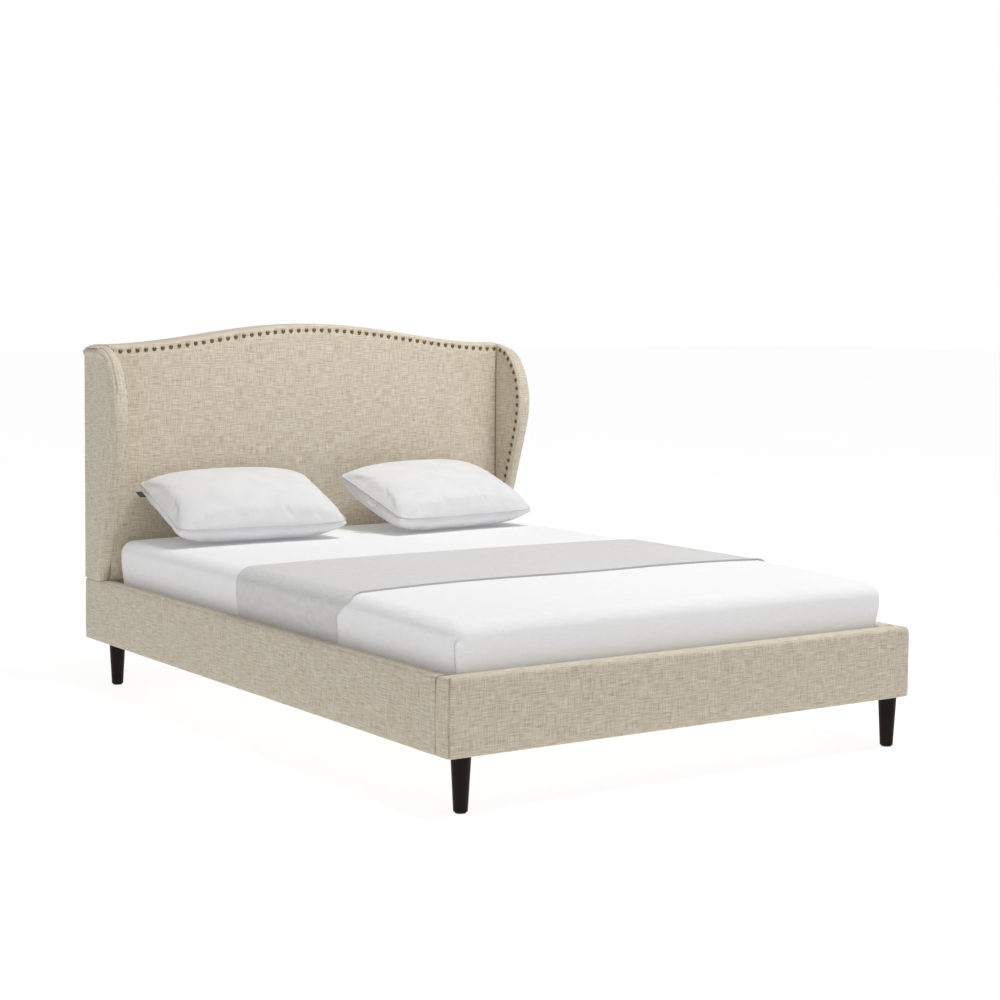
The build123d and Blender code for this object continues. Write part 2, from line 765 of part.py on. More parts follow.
# ---------------------------------------------------------------- pillows
# Two foam pillows lean on the headboard. Each is a crowned slab with thin edges; it comes down on
# the fitted sheet at its front edge and stops just short of the headboard behind.
# Each is (middle across the bed, turn in degrees, the label's share of the depth from the middle).
pillow_places = {
    "left": (-mattress_width / 4 - 17, -3, 0.27),
    "right": (mattress_width / 4 - 7, 7, -0.10),
}

# The slab has small faces above and below, and its full outline halfway between.
pillow_flat = (pillow_width * 0.62, pillow_depth * 0.5)
pillow_corner = pillow_depth * 0.15
pillow_rise = pillow_thickness / 2
label_gap = 1

with BuildPart() as pillow_blank:
    for z, size in (
        (-pillow_rise, pillow_flat),
        (0, (pillow_width, pillow_depth)),
        (pillow_rise, pillow_flat),
    ):
        with BuildSketch(Plane.XY.offset(z)):
            RectangleRounded(*size, pillow_corner)
    loft()

with BuildPart() as label_blank:
    with Locations((-pillow_width / 2 - label_width / 2 - label_gap, 0, 0)):
        Box(label_width, label_length, label_thickness)

for side, (pillow_x, turn, label_share) in pillow_places.items():
    lean = Rot(0, 0, turn) * Rot(pillow_tilt, 0, 0)
    reach = (lean * pillow_blank.part).bounding_box()
    pillow_y = y_face - pillow_back_gap - reach.max.Y
    pillow_z = mattress_top + sheet_thickness + pillow_gap - reach.min.Z
    place = Pos(pillow_x, pillow_y, pillow_z) * lean
    with BuildPart() as pillow:
        add(place * pillow_blank.part)
    save(pillow, f"pillow_{side}")
    with BuildPart() as pillow_label:
        add(place * Pos(0, pillow_depth * label_share, 0) * label_blank.part)
    save(pillow_label, f"pillow_label_{side}")
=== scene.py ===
import bmesh
import bpy
import numpy as np
from mathutils import Matrix, Vector


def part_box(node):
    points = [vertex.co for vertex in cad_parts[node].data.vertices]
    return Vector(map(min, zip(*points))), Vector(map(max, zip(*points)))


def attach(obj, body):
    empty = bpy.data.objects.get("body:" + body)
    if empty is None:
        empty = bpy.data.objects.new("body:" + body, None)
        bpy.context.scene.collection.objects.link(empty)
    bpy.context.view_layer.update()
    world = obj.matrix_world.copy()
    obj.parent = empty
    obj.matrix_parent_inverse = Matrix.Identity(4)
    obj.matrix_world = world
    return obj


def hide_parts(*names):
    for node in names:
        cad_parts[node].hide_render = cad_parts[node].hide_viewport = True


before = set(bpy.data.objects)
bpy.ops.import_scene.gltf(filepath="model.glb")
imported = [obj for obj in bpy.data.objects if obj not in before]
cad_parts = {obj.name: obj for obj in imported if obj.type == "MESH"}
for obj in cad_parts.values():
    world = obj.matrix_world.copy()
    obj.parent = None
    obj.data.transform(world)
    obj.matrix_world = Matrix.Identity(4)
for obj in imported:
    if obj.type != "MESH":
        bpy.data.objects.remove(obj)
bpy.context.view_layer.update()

# ---------------------------------------------------------------- studio
# The bed stands on a wide glowing white floor, such as catalogues use, under a pale sky and one
# large soft lamp high above it, a little to its right, so that shadows are faint.


def soft_lamp(name, place, aim, size, watts):
    """A square area lamp at place, turned to face aim."""
    lamp = bpy.data.lights.new(name, "AREA")
    lamp.shape = "SQUARE"
    lamp.size = size
    lamp.energy = watts
    stand = bpy.data.objects.new(name, lamp)
    stand.location = place
    stand.rotation_mode = "QUATERNION"
    stand.rotation_quaternion = (Vector(aim) - Vector(place)).to_track_quat("-Z", "Y")
    bpy.context.scene.collection.objects.link(stand)


def standing_camera(place, yaw, pitch, roll, lens, shift):
    """A camera looking along yaw, turned from +Y towards +X, and pitch below level, tipped by
    roll. Its right and up are the level ones turned by roll about the way it looks."""
    forward = np.array([np.sin(yaw) * np.cos(pitch), np.cos(yaw) * np.cos(pitch), -np.sin(pitch)])
    level = np.array([np.cos(yaw), -np.sin(yaw), 0.0])
    above = np.cross(level, forward)
    right = level * np.cos(roll) + above * np.sin(roll)
    up = above * np.cos(roll) - level * np.sin(roll)
    data = bpy.data.cameras.new("camera")
    data.lens = lens
    data.sensor_width = 36.0
    data.shift_x, data.shift_y = shift
    data.clip_end = 200.0
    camera = bpy.data.objects.new("camera", data)
    turn = Matrix(np.stack([right, up, -forward], axis=1).tolist())
    camera.matrix_world = Matrix.Translation(place) @ turn.to_4x4()
    bpy.context.scene.collection.objects.link(camera)
    return camera


bpy.context.scene.camera = standing_camera(
    (-3.7084, -5.4669, 1.3172), yaw=0.59135, pitch=0.06799, roll=0.00809,
    lens=75.05, shift=(0.04, -0.06),
)
bpy.context.scene.view_settings.view_transform = "Standard"

soft_lamp("key", (1.1, -1.0, 5.3), (0.0, 0.1, 0.5), size=1.8, watts=183)

studio = bpy.data.worlds.new("studio")
bpy.context.scene.world = studio
studio.use_nodes = True
sky = studio.node_tree.nodes["Background"]
sky.inputs["Color"].default_value = (1.0, 1.0, 1.0, 1.0)
seen = studio.node_tree.nodes.new("ShaderNodeLightPath")
sky_light, sky_seen = 0.33, 0.67  # strength for lighting, and what is added where it is seen
bright = studio.node_tree.nodes.new("ShaderNodeMath")
bright.operation = "MULTIPLY_ADD"
bright.inputs[1].default_value = sky_seen
bright.inputs[2].default_value = sky_light
studio.node_tree.links.new(seen.outputs["Is Camera Ray"], bright.inputs[0])
studio.node_tree.links.new(bright.outputs[0], sky.inputs["Strength"])


class Value:
    """A socket in a material. Arithmetic on it adds Math nodes to the same material."""

    def __init__(self, finish, socket):
        self.finish = finish
        self.socket = socket

    def maths(self, operation, *others):
        terms = dict(enumerate((self, *others)))
        return self.finish.node("ShaderNodeMath", {"operation": operation}, terms)

    def __add__(self, other):
        return self.maths("ADD", other)

    def __sub__(self, other):
        return self.maths("SUBTRACT", other)

    def __rsub__(self, other):
        return self.maths("MULTIPLY", -1.0) + other

    def __mul__(self, other):
        return self.maths("MULTIPLY", other)

    def __gt__(self, other):
        return self.maths("GREATER_THAN", other)

    def __abs__(self):
        return self.maths("ABSOLUTE")

    __radd__ = __add__
    __rmul__ = __mul__


class Finish:
    """A material being made: its shader, and node(), which adds any other node. Constants are
    set on the shader's own sockets."""

    def __init__(self, name, constants):
        self.material = bpy.data.materials.new(name)
        self.material.use_nodes = True
        self.tree = self.material.node_tree
        self.shader = self.tree.nodes["Principled BSDF"]
        for socket, value in constants.items():
            self.shader.inputs[socket].default_value = value

    def put(self, target, value):
        """Links a Value to a socket, or sets the socket to a number, vector or colour."""
        if isinstance(value, Value):
            self.tree.links.new(value.socket, target)
        else:
            target.default_value = value

    def node(self, kind, settings, inputs, output=0):
        """Any node, from its type, its settings, and the values or links of its sockets."""
        made = self.tree.nodes.new(kind)
        for key, value in settings.items():
            if key == "stops":
                ramp = made.color_ramp.elements
                while len(ramp) < len(value):
                    ramp.new(0.5)
                for stop, (place, colour) in zip(ramp, value):
                    stop.position, stop.color = place, (*colour, 1.0)
            else:
                setattr(made, key, value)
        for key, value in inputs.items():
            self.put(made.inputs[key], value)
        return Value(self, made.outputs[output])

    def place(self):
        return self.node("ShaderNodeTexCoord", {}, {}, "Object")

    def parts(self, vector):
        """The X, Y and Z of a vector."""
        return [self.node("ShaderNodeSeparateXYZ", {}, {0: vector}, i) for i in range(3)]

    def across(self, u, v, w=0.0):
        return self.node("ShaderNodeCombineXYZ", {}, {0: u, 1: v, 2: w})

    def noise(self, vector, scale=1.0, detail=0.0, roughness=0.5):
        inputs = {"Vector": vector, "Scale": scale, "Detail": detail, "Roughness": roughness}
        return self.node("ShaderNodeTexNoise", {}, inputs, "Fac")

    def ramp(self, value, *stops):
        return self.node("ShaderNodeValToRGB", {"stops": stops}, {0: value})

    def bump(self, height, distance, strength=1.0):
        inputs = {"Height": height, "Distance": distance, "Strength": strength}
        normal = self.node("ShaderNodeBump", {}, inputs)
        self.put(self.shader.inputs["Normal"], normal)

    def colour(self, value):
        """Gives the shader its colour, which ends the making of the material."""
        self.put(self.shader.inputs["Base Color"], value)
        return self.material


def floor_finish():
    """A translucent white panel lit from below, very slightly mottled."""
    finish = Finish("studio_floor", {
        "Roughness": 0.9, "Specular IOR Level": 0.0,
        "Emission Color": (1.0, 1.0, 1.0, 1.0), "Emission Strength": 0.90,
    })
    mottle = finish.noise(finish.place(), 0.7, 2.0)
    greys = (0.3, (0.24, 0.24, 0.24)), (0.7, (0.26, 0.26, 0.26))
    return finish.colour(finish.ramp(mottle, *greys))


def new_piece(name, points, faces, material, smooth=True):
    """A mesh object at the origin from arrays of points and faces."""
    mesh = bpy.data.meshes.new(name)
    mesh.from_pydata(points.tolist(), [], [list(face) for face in faces])
    mesh.polygons.foreach_set("use_smooth", [smooth] * len(mesh.polygons))
    mesh.materials.append(material)
    mesh.update()
    piece = bpy.data.objects.new(name, mesh)
    bpy.context.scene.collection.objects.link(piece)
    return piece


floor_reach, floor_drop = 40.0, 0.0002
floor_corners = np.array([(-1, -1, 0), (1, -1, 0), (1, 1, 0), (-1, 1, 0)]) * floor_reach
floor_corners = floor_corners - (0, 0, floor_drop)
floor = new_piece("studio_floor", floor_corners, [(0, 1, 2, 3)], floor_finish(), smooth=False)

# ---------------------------------------------------------------- foot rail
# A padded board under one tight wrap of oatmeal linen, stapled underneath. A thin dark line down
# each outer corner is taken to be the overcast seam that closes the wrap, sewn in brown thread.


def linen_finish(name):
    """Slubby linen. Threads run level and upright on every face: the pattern is read on the plane
    that the surface faces most. Long thin noise each way gives the slubs, waves give the weave."""
    finish = Finish(name, {
        "Roughness": 0.92, "Specular IOR Level": 0.18, "Sheen Weight": 0.25, "Sheen Roughness": 0.6,
    })
    x, y, z = finish.parts(finish.place())
    facing = finish.parts(finish.node("ShaderNodeTexCoord", {}, {}, "Normal"))
    ax, ay, az = [abs(part) for part in facing]
    side = (ax > ay) * (ax > az)
    top = (az > ax) * (az > ay)
    u = x * (1 - side) + y * side
    v = z * (1 - top) + y * top
    warp = finish.noise(finish.across(u * 520.0, v * 25.0), 1.0, 1.0)
    weft = finish.noise(finish.across(u * 25.0, v * 520.0, 5.0), 1.0, 1.0)
    slub = finish.noise(finish.across(u * 12.0, v * 300.0, 13.0), 1.0, 0.0)
    slub_up = finish.noise(finish.across(u * 300.0, v * 12.0, 9.0), 1.0, 0.0)
    fleck = finish.noise(finish.across(u, v, 17.0), 640.0, 1.0)
    tone = warp * 0.62 + weft * 0.78 + slub * 0.26 + slub_up * 0.18 + fleck * 0.30 - 0.57
    thread = finish.ramp(
        tone,
        (0.18, (0.42, 0.335, 0.225)),
        (0.38, (0.575, 0.49, 0.365)),
        (0.50, (0.665, 0.59, 0.465)),
        (0.62, (0.735, 0.67, 0.55)),
        (0.82, (0.83, 0.785, 0.69)),
    )
    finish.bump(warp + weft + fleck * 0.6, 0.0010, 0.45)
    return finish.colour(thread)


linen = linen_finish("oatmeal_linen")


def joined(points, faces, near=2e-5):
    """Points that coincide, to within near, become one, and faces that have shrunk to nothing go."""
    cells = np.round(points / near).astype(np.int64)
    _, first, place = np.unique(cells, axis=0, return_index=True, return_inverse=True)
    faces = place.reshape(-1)[faces]
    kept = []
    for face in faces.tolist():
        ring = [p for i, p in enumerate(face) if p != face[i - 1]]
        if len(ring) > 2 and len(set(ring)) == len(ring):
            kept.append(ring)
    return points[first], kept


def quads(index):
    """One four-sided face for each cell of a grid of point numbers."""
    corners = (index[:-1, :-1], index[:-1, 1:], index[1:, 1:], index[1:, :-1])
    return np.stack(corners, axis=-1).reshape(-1, 4)


def lattice(rows, columns, wrap=False):
    """Quads over a rows by columns grid of points; wrap joins the last column to the first."""
    index = np.arange(rows * columns).reshape(rows, columns)
    if wrap:
        index = np.concatenate([index, index[:, :1]], axis=1)
    return quads(index)


def plan_loop(low, high, corners, step):
    """A rounded rectangle run anticlockwise from its low right corner, with a radius for each
    corner: the arcs' centres, the outward angles and the radii, point by point."""
    arc = np.linspace(0, np.pi / 2, 9)
    signs = ((1, -1), (1, 1), (-1, 1), (-1, -1))
    middle, half = (low + high) / 2, (high - low) / 2
    hubs = [middle + np.array(s) * (half - r) for s, r in zip(signs, corners)]
    centres, angles, radii = [], [], []
    for i, (hub, radius) in enumerate(zip(hubs, corners)):
        turned = arc + (i - 1) * np.pi / 2
        following, wider = hubs[(i + 1) % 4], corners[(i + 1) % 4]
        count = max(2, int(np.linalg.norm(following - hub) / step))
        share = np.linspace(0, 1, count + 1)[1:-1]
        reach = radius + (wider - radius) * share
        way = np.array([np.cos(turned[-1]), np.sin(turned[-1])])
        start, end = hub + way * radius, following + way * wider
        line = start + (end - start) * share[:, None] - way * reach[:, None]
        centres += [np.repeat([hub], len(arc), axis=0), line]
        angles += [turned, np.full(len(share), turned[-1])]
        radii += [np.full(len(arc), radius), reach]
    return np.concatenate(centres), np.concatenate(angles), np.concatenate(radii)


def ripple(points, seed, height, length):
    """Low random swells: twice the mean of twelve sine waves, of about the given length, that run
    in all directions."""
    rng = np.random.default_rng(seed)
    waves = rng.normal(size=(12, 3))
    waves *= (2 * np.pi / length / np.linalg.norm(waves, axis=1) * rng.uniform(0.6, 1.6, 12))[:, None]
    return height * np.sin(points @ waves.T + rng.uniform(0, 2 * np.pi, 12)).mean(axis=1) * 2.0


def wrapped_rail(low, high, corners, top_radius, crown, step=0.02):
    """A padded rail: rounded plan loops stacked up a profile that starts at the middle of the
    underside, goes out, up the crowned face, over the rounded top edge and in to the middle. The
    face swells by crown times a half wave of a sine, to the power 0.6, of the share climbed."""
    low, high = np.array(low), np.array(high)
    half = min(high[0] - low[0], high[1] - low[1]) / 2
    under, height = 0.003, high[2] - low[2]
    turn = np.linspace(0, np.pi / 2, 9)
    inset = [np.linspace(half, under, 4)[:-1], under - under * np.sin(turn[::2])]
    level = [np.zeros(3), under - under * np.cos(turn[::2])]
    climb = np.linspace(0, 1, 12)[1:-1]
    inset.append(-crown * np.sin(np.pi * climb) ** 0.6)
    level.append(under + climb * (height - under - top_radius))
    inset.append(top_radius - top_radius * np.cos(turn))
    level.append(height - top_radius + top_radius * np.sin(turn))
    inward = np.linspace(top_radius, half, 6)[1:]
    inset.append(inward)
    level.append(height + 0.6 * crown * np.sin(np.pi / 2 * (inward - top_radius) / (half - top_radius)))
    inset, level = np.concatenate(inset), np.concatenate(level)
    centre, angle, corner = plan_loop(low[:2], high[:2], corners, step)
    way = np.stack([np.cos(angle), np.sin(angle)], axis=1)
    middle = (low[:2] + high[:2]) / 2
    room = (high[:2] - low[:2]) / 2
    rings = []
    for d, z in zip(inset, level):
        left = np.maximum(corner - d, 0.0)[:, None]
        reach = np.minimum(np.abs(centre - middle), np.maximum(room - d - left, 0.0))
        spot = middle + np.sign(centre - middle) * reach + way * left
        rings.append(np.column_stack([spot, np.full(len(spot), low[2] + z)]))
    points = np.concatenate(rings)
    faces = lattice(len(rings), len(centre), wrap=True)
    return points, faces


rail_low, rail_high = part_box("foot_rail_cover")
corner_radius, edge_round, foot_top_radius = 0.014, 0.0055, 0.0115
face_depth = 0.006  # the swells of a face fade out this far behind it
points, faces = wrapped_rail(
    rail_low, rail_high, (corner_radius, edge_round, edge_round, corner_radius),
    top_radius=foot_top_radius, crown=0.0022,
)
facing = np.clip((rail_low.y + face_depth - points[:, 1]) / face_depth, 0, 1)
points[:, 1] -= facing * (0.0008 + ripple(points, 3, 0.0009, 0.22))
foot_rail = new_piece("foot_rail_linen", *joined(points, faces), linen)
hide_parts("foot_rail_cover", "foot_rail_foam")
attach(foot_rail, "frame")


def thread_finish():
    """Waxed brown sewing thread, lighter and darker by a fine noise. The same brown also
    paints thin shade lines into joints, grooves and corners.
    """
    finish = Finish("brown_thread_and_shade_lines", {"Roughness": 0.7})
    twist = finish.noise(finish.place(), 900.0, 1.0)
    browns = (0.3, (0.23, 0.15, 0.08)), (0.7, (0.38, 0.27, 0.16))
    return finish.colour(finish.ramp(twist, *browns))


brown_thread_and_shade_lines = thread_finish()


def stitch_row(line, outward, length, thickness, lean):
    """Small six-sided spindles along a line, one for each point, leaning across it by lean: five
    rings each, as wide as thickness in the middle and shut at both ends."""
    line, outward = np.asarray(line), np.asarray(outward)
    along = np.gradient(line, axis=0)
    along /= np.linalg.norm(along, axis=1)[:, None]
    across = np.cross(along, outward)
    way = along * np.cos(lean) + across * np.sin(lean)
    side = np.cross(way, outward)
    stations = np.array([-1.0, -0.7, 0.0, 0.7, 1.0])
    width = np.array([0.0, 0.7, 1.0, 0.7, 0.0]) * thickness
    around = np.arange(6) * np.pi / 3
    ring = np.cos(around)[None, :, None] * side[:, None, None, :]
    ring = ring + np.sin(around)[None, :, None] * outward[:, None, None, :]
    reach = (stations * length / 2)[None, :, None, None]
    spot = line[:, None, None, :] + way[:, None, None, :] * reach
    points = spot + ring * width[None, :, None, None]
    one = lattice(len(stations), len(around), wrap=True)
    first = np.arange(len(line)) * len(stations) * len(around)
    faces = (one[None] + first[:, None, None]).reshape(-1, 4)
    return points.reshape(-1, 3), faces


def corner_stitches(side):
    """The overcast seam up one outer corner, standing proud of it, and in over the rail's rounded
    top along a quarter circle."""
    stand, start, pitch, drop = 0.0021, 0.006, 0.0062, foot_top_radius
    diagonal = np.array([side, -1.0]) / np.sqrt(2)
    corner = np.array([side * rail_high.x, rail_low.y]) + -diagonal * corner_radius * (np.sqrt(2) - 1)
    rise = np.arange(rail_low.z + start, rail_high.z - drop, pitch)
    proud = corner + diagonal * stand
    upright = np.column_stack([np.full(len(rise), proud[0]), np.full(len(rise), proud[1]), rise])
    away = np.tile([*diagonal, 0.0], (len(rise), 1))
    turn = np.linspace(0.15, np.pi / 2, 4)
    bend = np.column_stack([
        corner[0] - diagonal[0] * drop * (1 - np.cos(turn)),
        corner[1] - diagonal[1] * drop * (1 - np.cos(turn)),
        rail_high.z - drop + drop * np.sin(turn),
    ])
    lean_out = np.column_stack([np.cos(turn)[:, None] * diagonal[None], np.sin(turn)])
    line, outward = np.concatenate([upright, bend]), np.concatenate([away, lean_out])
    return stitch_row(line, outward, length=0.0080, thickness=0.0008, lean=0.9)


for side, word in ((-1, "left"), (1, "right")):
    points, faces = corner_stitches(side)
    stitches = new_piece(f"foot_corner_stitches_{word}", *joined(points, faces), brown_thread_and_shade_lines)
    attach(stitches, "frame")

# ---------------------------------------------------------------- side rails and head rail
# Made like the foot rail. The side rails butt against the foot rail's back, and the head rail
# closes the frame between them. The shadow in the gap at each foot joint is painted as a thin brown cord.
for node, name in (
    ("side_rail_cover_left", "side_rail_linen_left"),
    ("side_rail_cover_right", "side_rail_linen_right"),
    ("head_rail_cover", "head_rail_linen"),
):
    low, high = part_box(node)
    points, faces = wrapped_rail(low, high, (edge_round,) * 4, top_radius=0.0105, crown=0.0016)
    outer = np.clip((np.abs(points[:, 0]) - high.x + face_depth) / face_depth, 0, 1)
    outer = outer * (node != "head_rail_cover")
    fade = np.clip((points[:, 1] - low.y) / 0.05, 0, 1)
    swell = 0.0006 + ripple(points, 5, 0.0008, 0.25)
    points[:, 0] += np.sign(points[:, 0]) * outer * fade * swell
    rail = new_piece(name, *joined(points, faces), linen)
    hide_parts(node, node.replace("cover", "foam"))
    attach(rail, "frame")


def cord(line, radius, sides=6, closed=False):
    """A round cord along a line of points: a ring of sides about every point, square to the line,
    pinched shut at its two ends unless the line is closed."""
    if closed:
        ahead = np.roll(line, -1, axis=0) - np.roll(line, 1, axis=0)
    else:
        ahead = np.gradient(line, axis=0)
    ahead /= np.linalg.norm(ahead, axis=1)[:, None]
    spare = np.where(np.abs(ahead[:, 2:]) > 0.7, (0.0, 1.0, 0.0), (0.0, 0.0, 1.0))
    across = np.cross(ahead, spare)
    across /= np.linalg.norm(across, axis=1)[:, None]
    upward = np.cross(across, ahead)
    angle = np.linspace(0, 2 * np.pi, sides, endpoint=False)[None, :, None]
    ring = across[:, None] * np.cos(angle) + upward[:, None] * np.sin(angle)
    size = np.full(len(line), radius)
    if not closed:
        size[[0, -1]] = 0.0
    points = (line[:, None] + size[:, None, None] * ring).reshape(-1, 3)
    faces = lattice(len(line), sides, wrap=True)
    if closed:
        last = np.arange(sides) + (len(line) - 1) * sides
        first = np.arange(sides)
        join = np.stack([last, np.roll(last, -1), np.roll(first, -1), first], axis=-1)
        faces = np.concatenate([faces, join])
    return joined(points, faces[:, ::-1])


side_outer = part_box("side_rail_cover_right")[1].x


def rail_joint(side):
    """Up the joint between a side rail and the foot rail, round a quarter circle and in over
    their tops."""
    out, top, behind = side_outer - 0.0004, rail_high.z - 0.0020, rail_high.y + 0.0003
    bend, reach = 0.0095, 0.044
    turn = np.linspace(0, np.pi / 2, 7)[1:]
    upright = np.linspace(rail_low.z + 0.004, top - bend, 20)
    over = np.linspace(out - bend, out - reach, 8)[1:]
    across = [np.full(len(upright), out), out - bend * (1 - np.cos(turn)), over]
    rise = [upright, top - bend + bend * np.sin(turn), np.full(len(over), top)]
    across, rise = np.concatenate(across), np.concatenate(rise)
    return np.column_stack([side * across, np.full(len(across), behind), rise])


# Painted shade: a thin brown cord in each foot joint stands for the shadow in its gap.
for side, word in ((-1, "left"), (1, "right")):
    joint = new_piece(f"foot_joint_shade_line_{word}", *cord(rail_joint(side), 0.0007), brown_thread_and_shade_lines)
    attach(joint, "frame")

# ---------------------------------------------------------------- headboard
# A camel-back panel of foam on plywood, covered in the same linen and drawn down by a row of
# domed nails just inside its top edge. The back is lined with linen, slip-stitched on.
board_low, board_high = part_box("headboard_cover")
back_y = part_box("headboard_back_cloth")[1].y
board_half = board_high.x
board_depth, nail_inset = 0.133, 0.021
arch_rise = 0.070
arch_end = board_high.z - arch_rise


def arch_top(x):
    """Height of the top edge: one full wave of a cosine, highest in the middle of the bed."""
    return arch_end + arch_rise * (1 + np.cos(np.pi * x / board_half)) / 2


def nail_tips(node, axis, sign):
    """Where the nails' domes are highest: a node's points that lie furthest along an axis, taken
    forwards or backwards by sign."""
    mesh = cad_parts[node].data
    spots = np.zeros(len(mesh.vertices) * 3, np.float32)
    mesh.vertices.foreach_get("co", spots)
    spots = spots.reshape(-1, 3).astype(float)
    reach = spots[:, axis] * sign
    tips = spots[reach > reach.max() - 2e-5]
    return np.unique(np.round(tips, 4), axis=0)


def nearest(points, spots):
    """Distance from each point to the nearest spot, worked out a block of points at a time."""
    gaps = []
    for block in np.array_split(points, max(1, len(points) // 20000)):
        gaps.append(np.sqrt(((block[:, None] - spots[None]) ** 2).sum(-1).min(1)))
    return np.concatenate(gaps)


columns = np.linspace(-1, 1, 259) * board_half
front_radius, back_radius = 0.018, 0.004
turn = np.linspace(0, np.pi / 2, 13)
# Each profile goes up the front, over the top and down the back: y, and z from the bottom (0) to
# the start of the rounding (1), then height above that start.
back_steps = 40
climb = np.concatenate([np.linspace(0, 0.86, 84), np.linspace(0.86, 1, 40)[1:]])
profile_y = np.concatenate([
    np.full(len(climb), board_low.y),
    board_low.y + front_radius * (1 - np.cos(turn[1:])),
    np.linspace(board_low.y + front_radius, back_y - back_radius, 16)[1:],
    back_y - back_radius + back_radius * np.sin(turn[::3][1:]),
    np.full(back_steps, back_y),
])
over_top = np.ones(len(profile_y) - len(climb) - back_steps)
profile_share = np.concatenate([climb, over_top, np.linspace(1, 0, back_steps + 1)[1:]])
profile_lift = np.concatenate([
    np.zeros(len(climb)),
    front_radius * np.sin(turn[1:]),
    np.full(15, front_radius),
    front_radius - back_radius * (1 - np.cos(turn[::3][1:])),
    np.linspace(front_radius - back_radius, 0, back_steps + 1)[1:],
])
start = arch_top(columns) - front_radius
height = board_low.z + (start - board_low.z)[:, None] * profile_share[None] + profile_lift[None]
points = np.stack([
    np.broadcast_to(columns[:, None], height.shape),
    np.broadcast_to(profile_y[None], height.shape),
    height,
], axis=-1).reshape(-1, 3)
tips = np.concatenate([nail_tips(f"headboard_nails_{s}", 1, -1) for s in ("left", "right")])
flat = points[:, [0, 2]]
# The front is padded out, except along the line of nails, which draws it in and dimples it.
line_gap = np.abs(arch_top(points[:, 0]) - nail_inset - points[:, 2])
end_gap = np.minimum(board_half - np.abs(points[:, 0]), points[:, 2] - board_low.z)
edge = np.clip(end_gap / 0.03, 0, 1)
front = np.clip((board_low.y + 0.02 - points[:, 1]) / 0.02, 0, 1)
puff = 0.0026 * (1 - np.exp(-(line_gap / 0.012) ** 2)) * edge
puff += (0.0006 + ripple(points, 11, 0.0009, 0.3)) * edge * np.clip(line_gap / 0.05, 0, 1)
puff -= 0.0016 * np.exp(-(nearest(flat, tips[:, [0, 2]]) / 0.0095) ** 2)
points[:, 1] -= puff * front
over = np.clip((points[:, 2] - arch_top(points[:, 0]) + 0.004) / 0.004, 0, 1)
back_share = np.clip((points[:, 1] - board_low.y) / board_depth, 0, 1)
points[:, 2] += over * (0.0015 * np.sin(np.pi * back_share) ** 0.7 - 0.0005)
rows = len(profile_y)
faces = lattice(len(columns), rows, wrap=True)[:, ::-1]
caps = [list(range(rows)), list(range((len(columns) - 1) * rows, len(columns) * rows))[::-1]]
headboard = new_piece("headboard_linen", points, [*faces.tolist(), *caps], linen)
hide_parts("headboard_cover", "headboard_back_cloth")
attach(headboard, "frame")

# ---------------------------------------------------------------- wings
# Each wing is a plywood board padded hard on the inside and thickly along its front edge, so the
# outer face dips a little behind the rim. The linen is pulled round the rim. Thin brown cords paint
# the shadow lines in the groove behind the rim and in the corner with the headboard.
wing_low, wing_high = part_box("wing_cover_right")
wing_inner, wing_back, wing_foot = wing_low.x, wing_high.y, wing_low.z
wing_outer_front = wing_high.x + 0.0008
wing_depth, crest_start, crest_height = 0.287, 0.112, 0.04
wing_points = wing_back - np.array([0.262, wing_depth, 0.255, 0.202, crest_start])
wing_levels = wing_high.z - np.array([0.339, 0.204, 0.082, 0.021, 0.0])


def smooth_line(spots, first, last, count):
    """A curve through spots that leaves along first and arrives along last. Its directions at the
    spots solve the equations that make its bend continuous, for spans timed by their length."""
    span = np.linalg.norm(np.diff(spots, axis=0), axis=1)
    n = len(spots)
    system, right = np.eye(n), np.zeros((n, 2))
    right[0], right[-1] = first, last
    for i in range(1, n - 1):
        before, after = span[i - 1], span[i]
        system[i, i - 1 : i + 2] = after, 2 * (before + after), before
        step = (spots[i] - spots[i - 1]) / before * after + (spots[i + 1] - spots[i]) / after * before
        right[i] = 3 * step
    way = np.linalg.solve(system, right)
    t = np.linspace(0, 1, count)[:, None]
    pieces = [
        (2 * t**3 - 3 * t**2 + 1) * spots[i] + (t**3 - 2 * t**2 + t) * span[i] * way[i]
        + (3 * t**2 - 2 * t**3) * spots[i + 1] + (t**3 - t**2) * span[i] * way[i + 1]
        for i in range(n - 1)
    ]
    return np.concatenate(pieces)


lean_start = np.array([wing_back - 0.125, wing_foot])
knots = np.column_stack([wing_points, wing_levels])
lean_way = (knots[0] - lean_start) / np.linalg.norm(knots[0] - lean_start)
curve = smooth_line(knots, lean_way, np.array([1.0, 0.0]), 60)
share = np.linspace(0, 1, 120)[:, None]
outline = np.concatenate([lean_start + (knots[0] - lean_start) * share, curve])
outline = np.concatenate([outline, [(wing_back, wing_high.z)]])

# A grid over the wing's side: rows at levels that crowd together under its top, columns that
# crowd together behind its front edge.
level = np.concatenate([
    np.linspace(wing_foot, wing_high.z - crest_height, 170),
    wing_high.z - crest_height * (1 - np.linspace(0, 1, 22)[1:] ** 0.8),
])
front_edge = np.interp(level, outline[:, 1], outline[:, 0])
front_edge[-1] = wing_back - crest_start
share = np.concatenate([np.linspace(0, 1, 33)[:-1] ** 1.3 * 0.2, np.linspace(0.2, 1, 26)])
depth = front_edge[:, None] + (wing_back - front_edge)[:, None] * share[None]
rise = np.broadcast_to(level[:, None], depth.shape)
flat = np.stack([depth, rise], axis=-1).reshape(-1, 2)
run = np.linspace(0, 1, 12)[None, :, None]
dense = (outline[:-1, None] * (1 - run) + outline[1:, None] * run).reshape(-1, 2)
rim = nearest(flat, dense)
rim[rim < 0.0006] = 0.0


def rounding(distance, radius):
    """How far a rounded edge falls back from its face at a distance inside the outline: radius
    less the height of a quarter circle there."""
    inside = np.clip(radius - distance, 0, radius)
    return radius - np.sqrt(radius**2 - inside**2)


def flared(depth):
    """Where the outer face stands across the bed: straight out from the back to the front."""
    return side_outer + (wing_outer_front - side_outer) * (wing_back - depth) / wing_depth


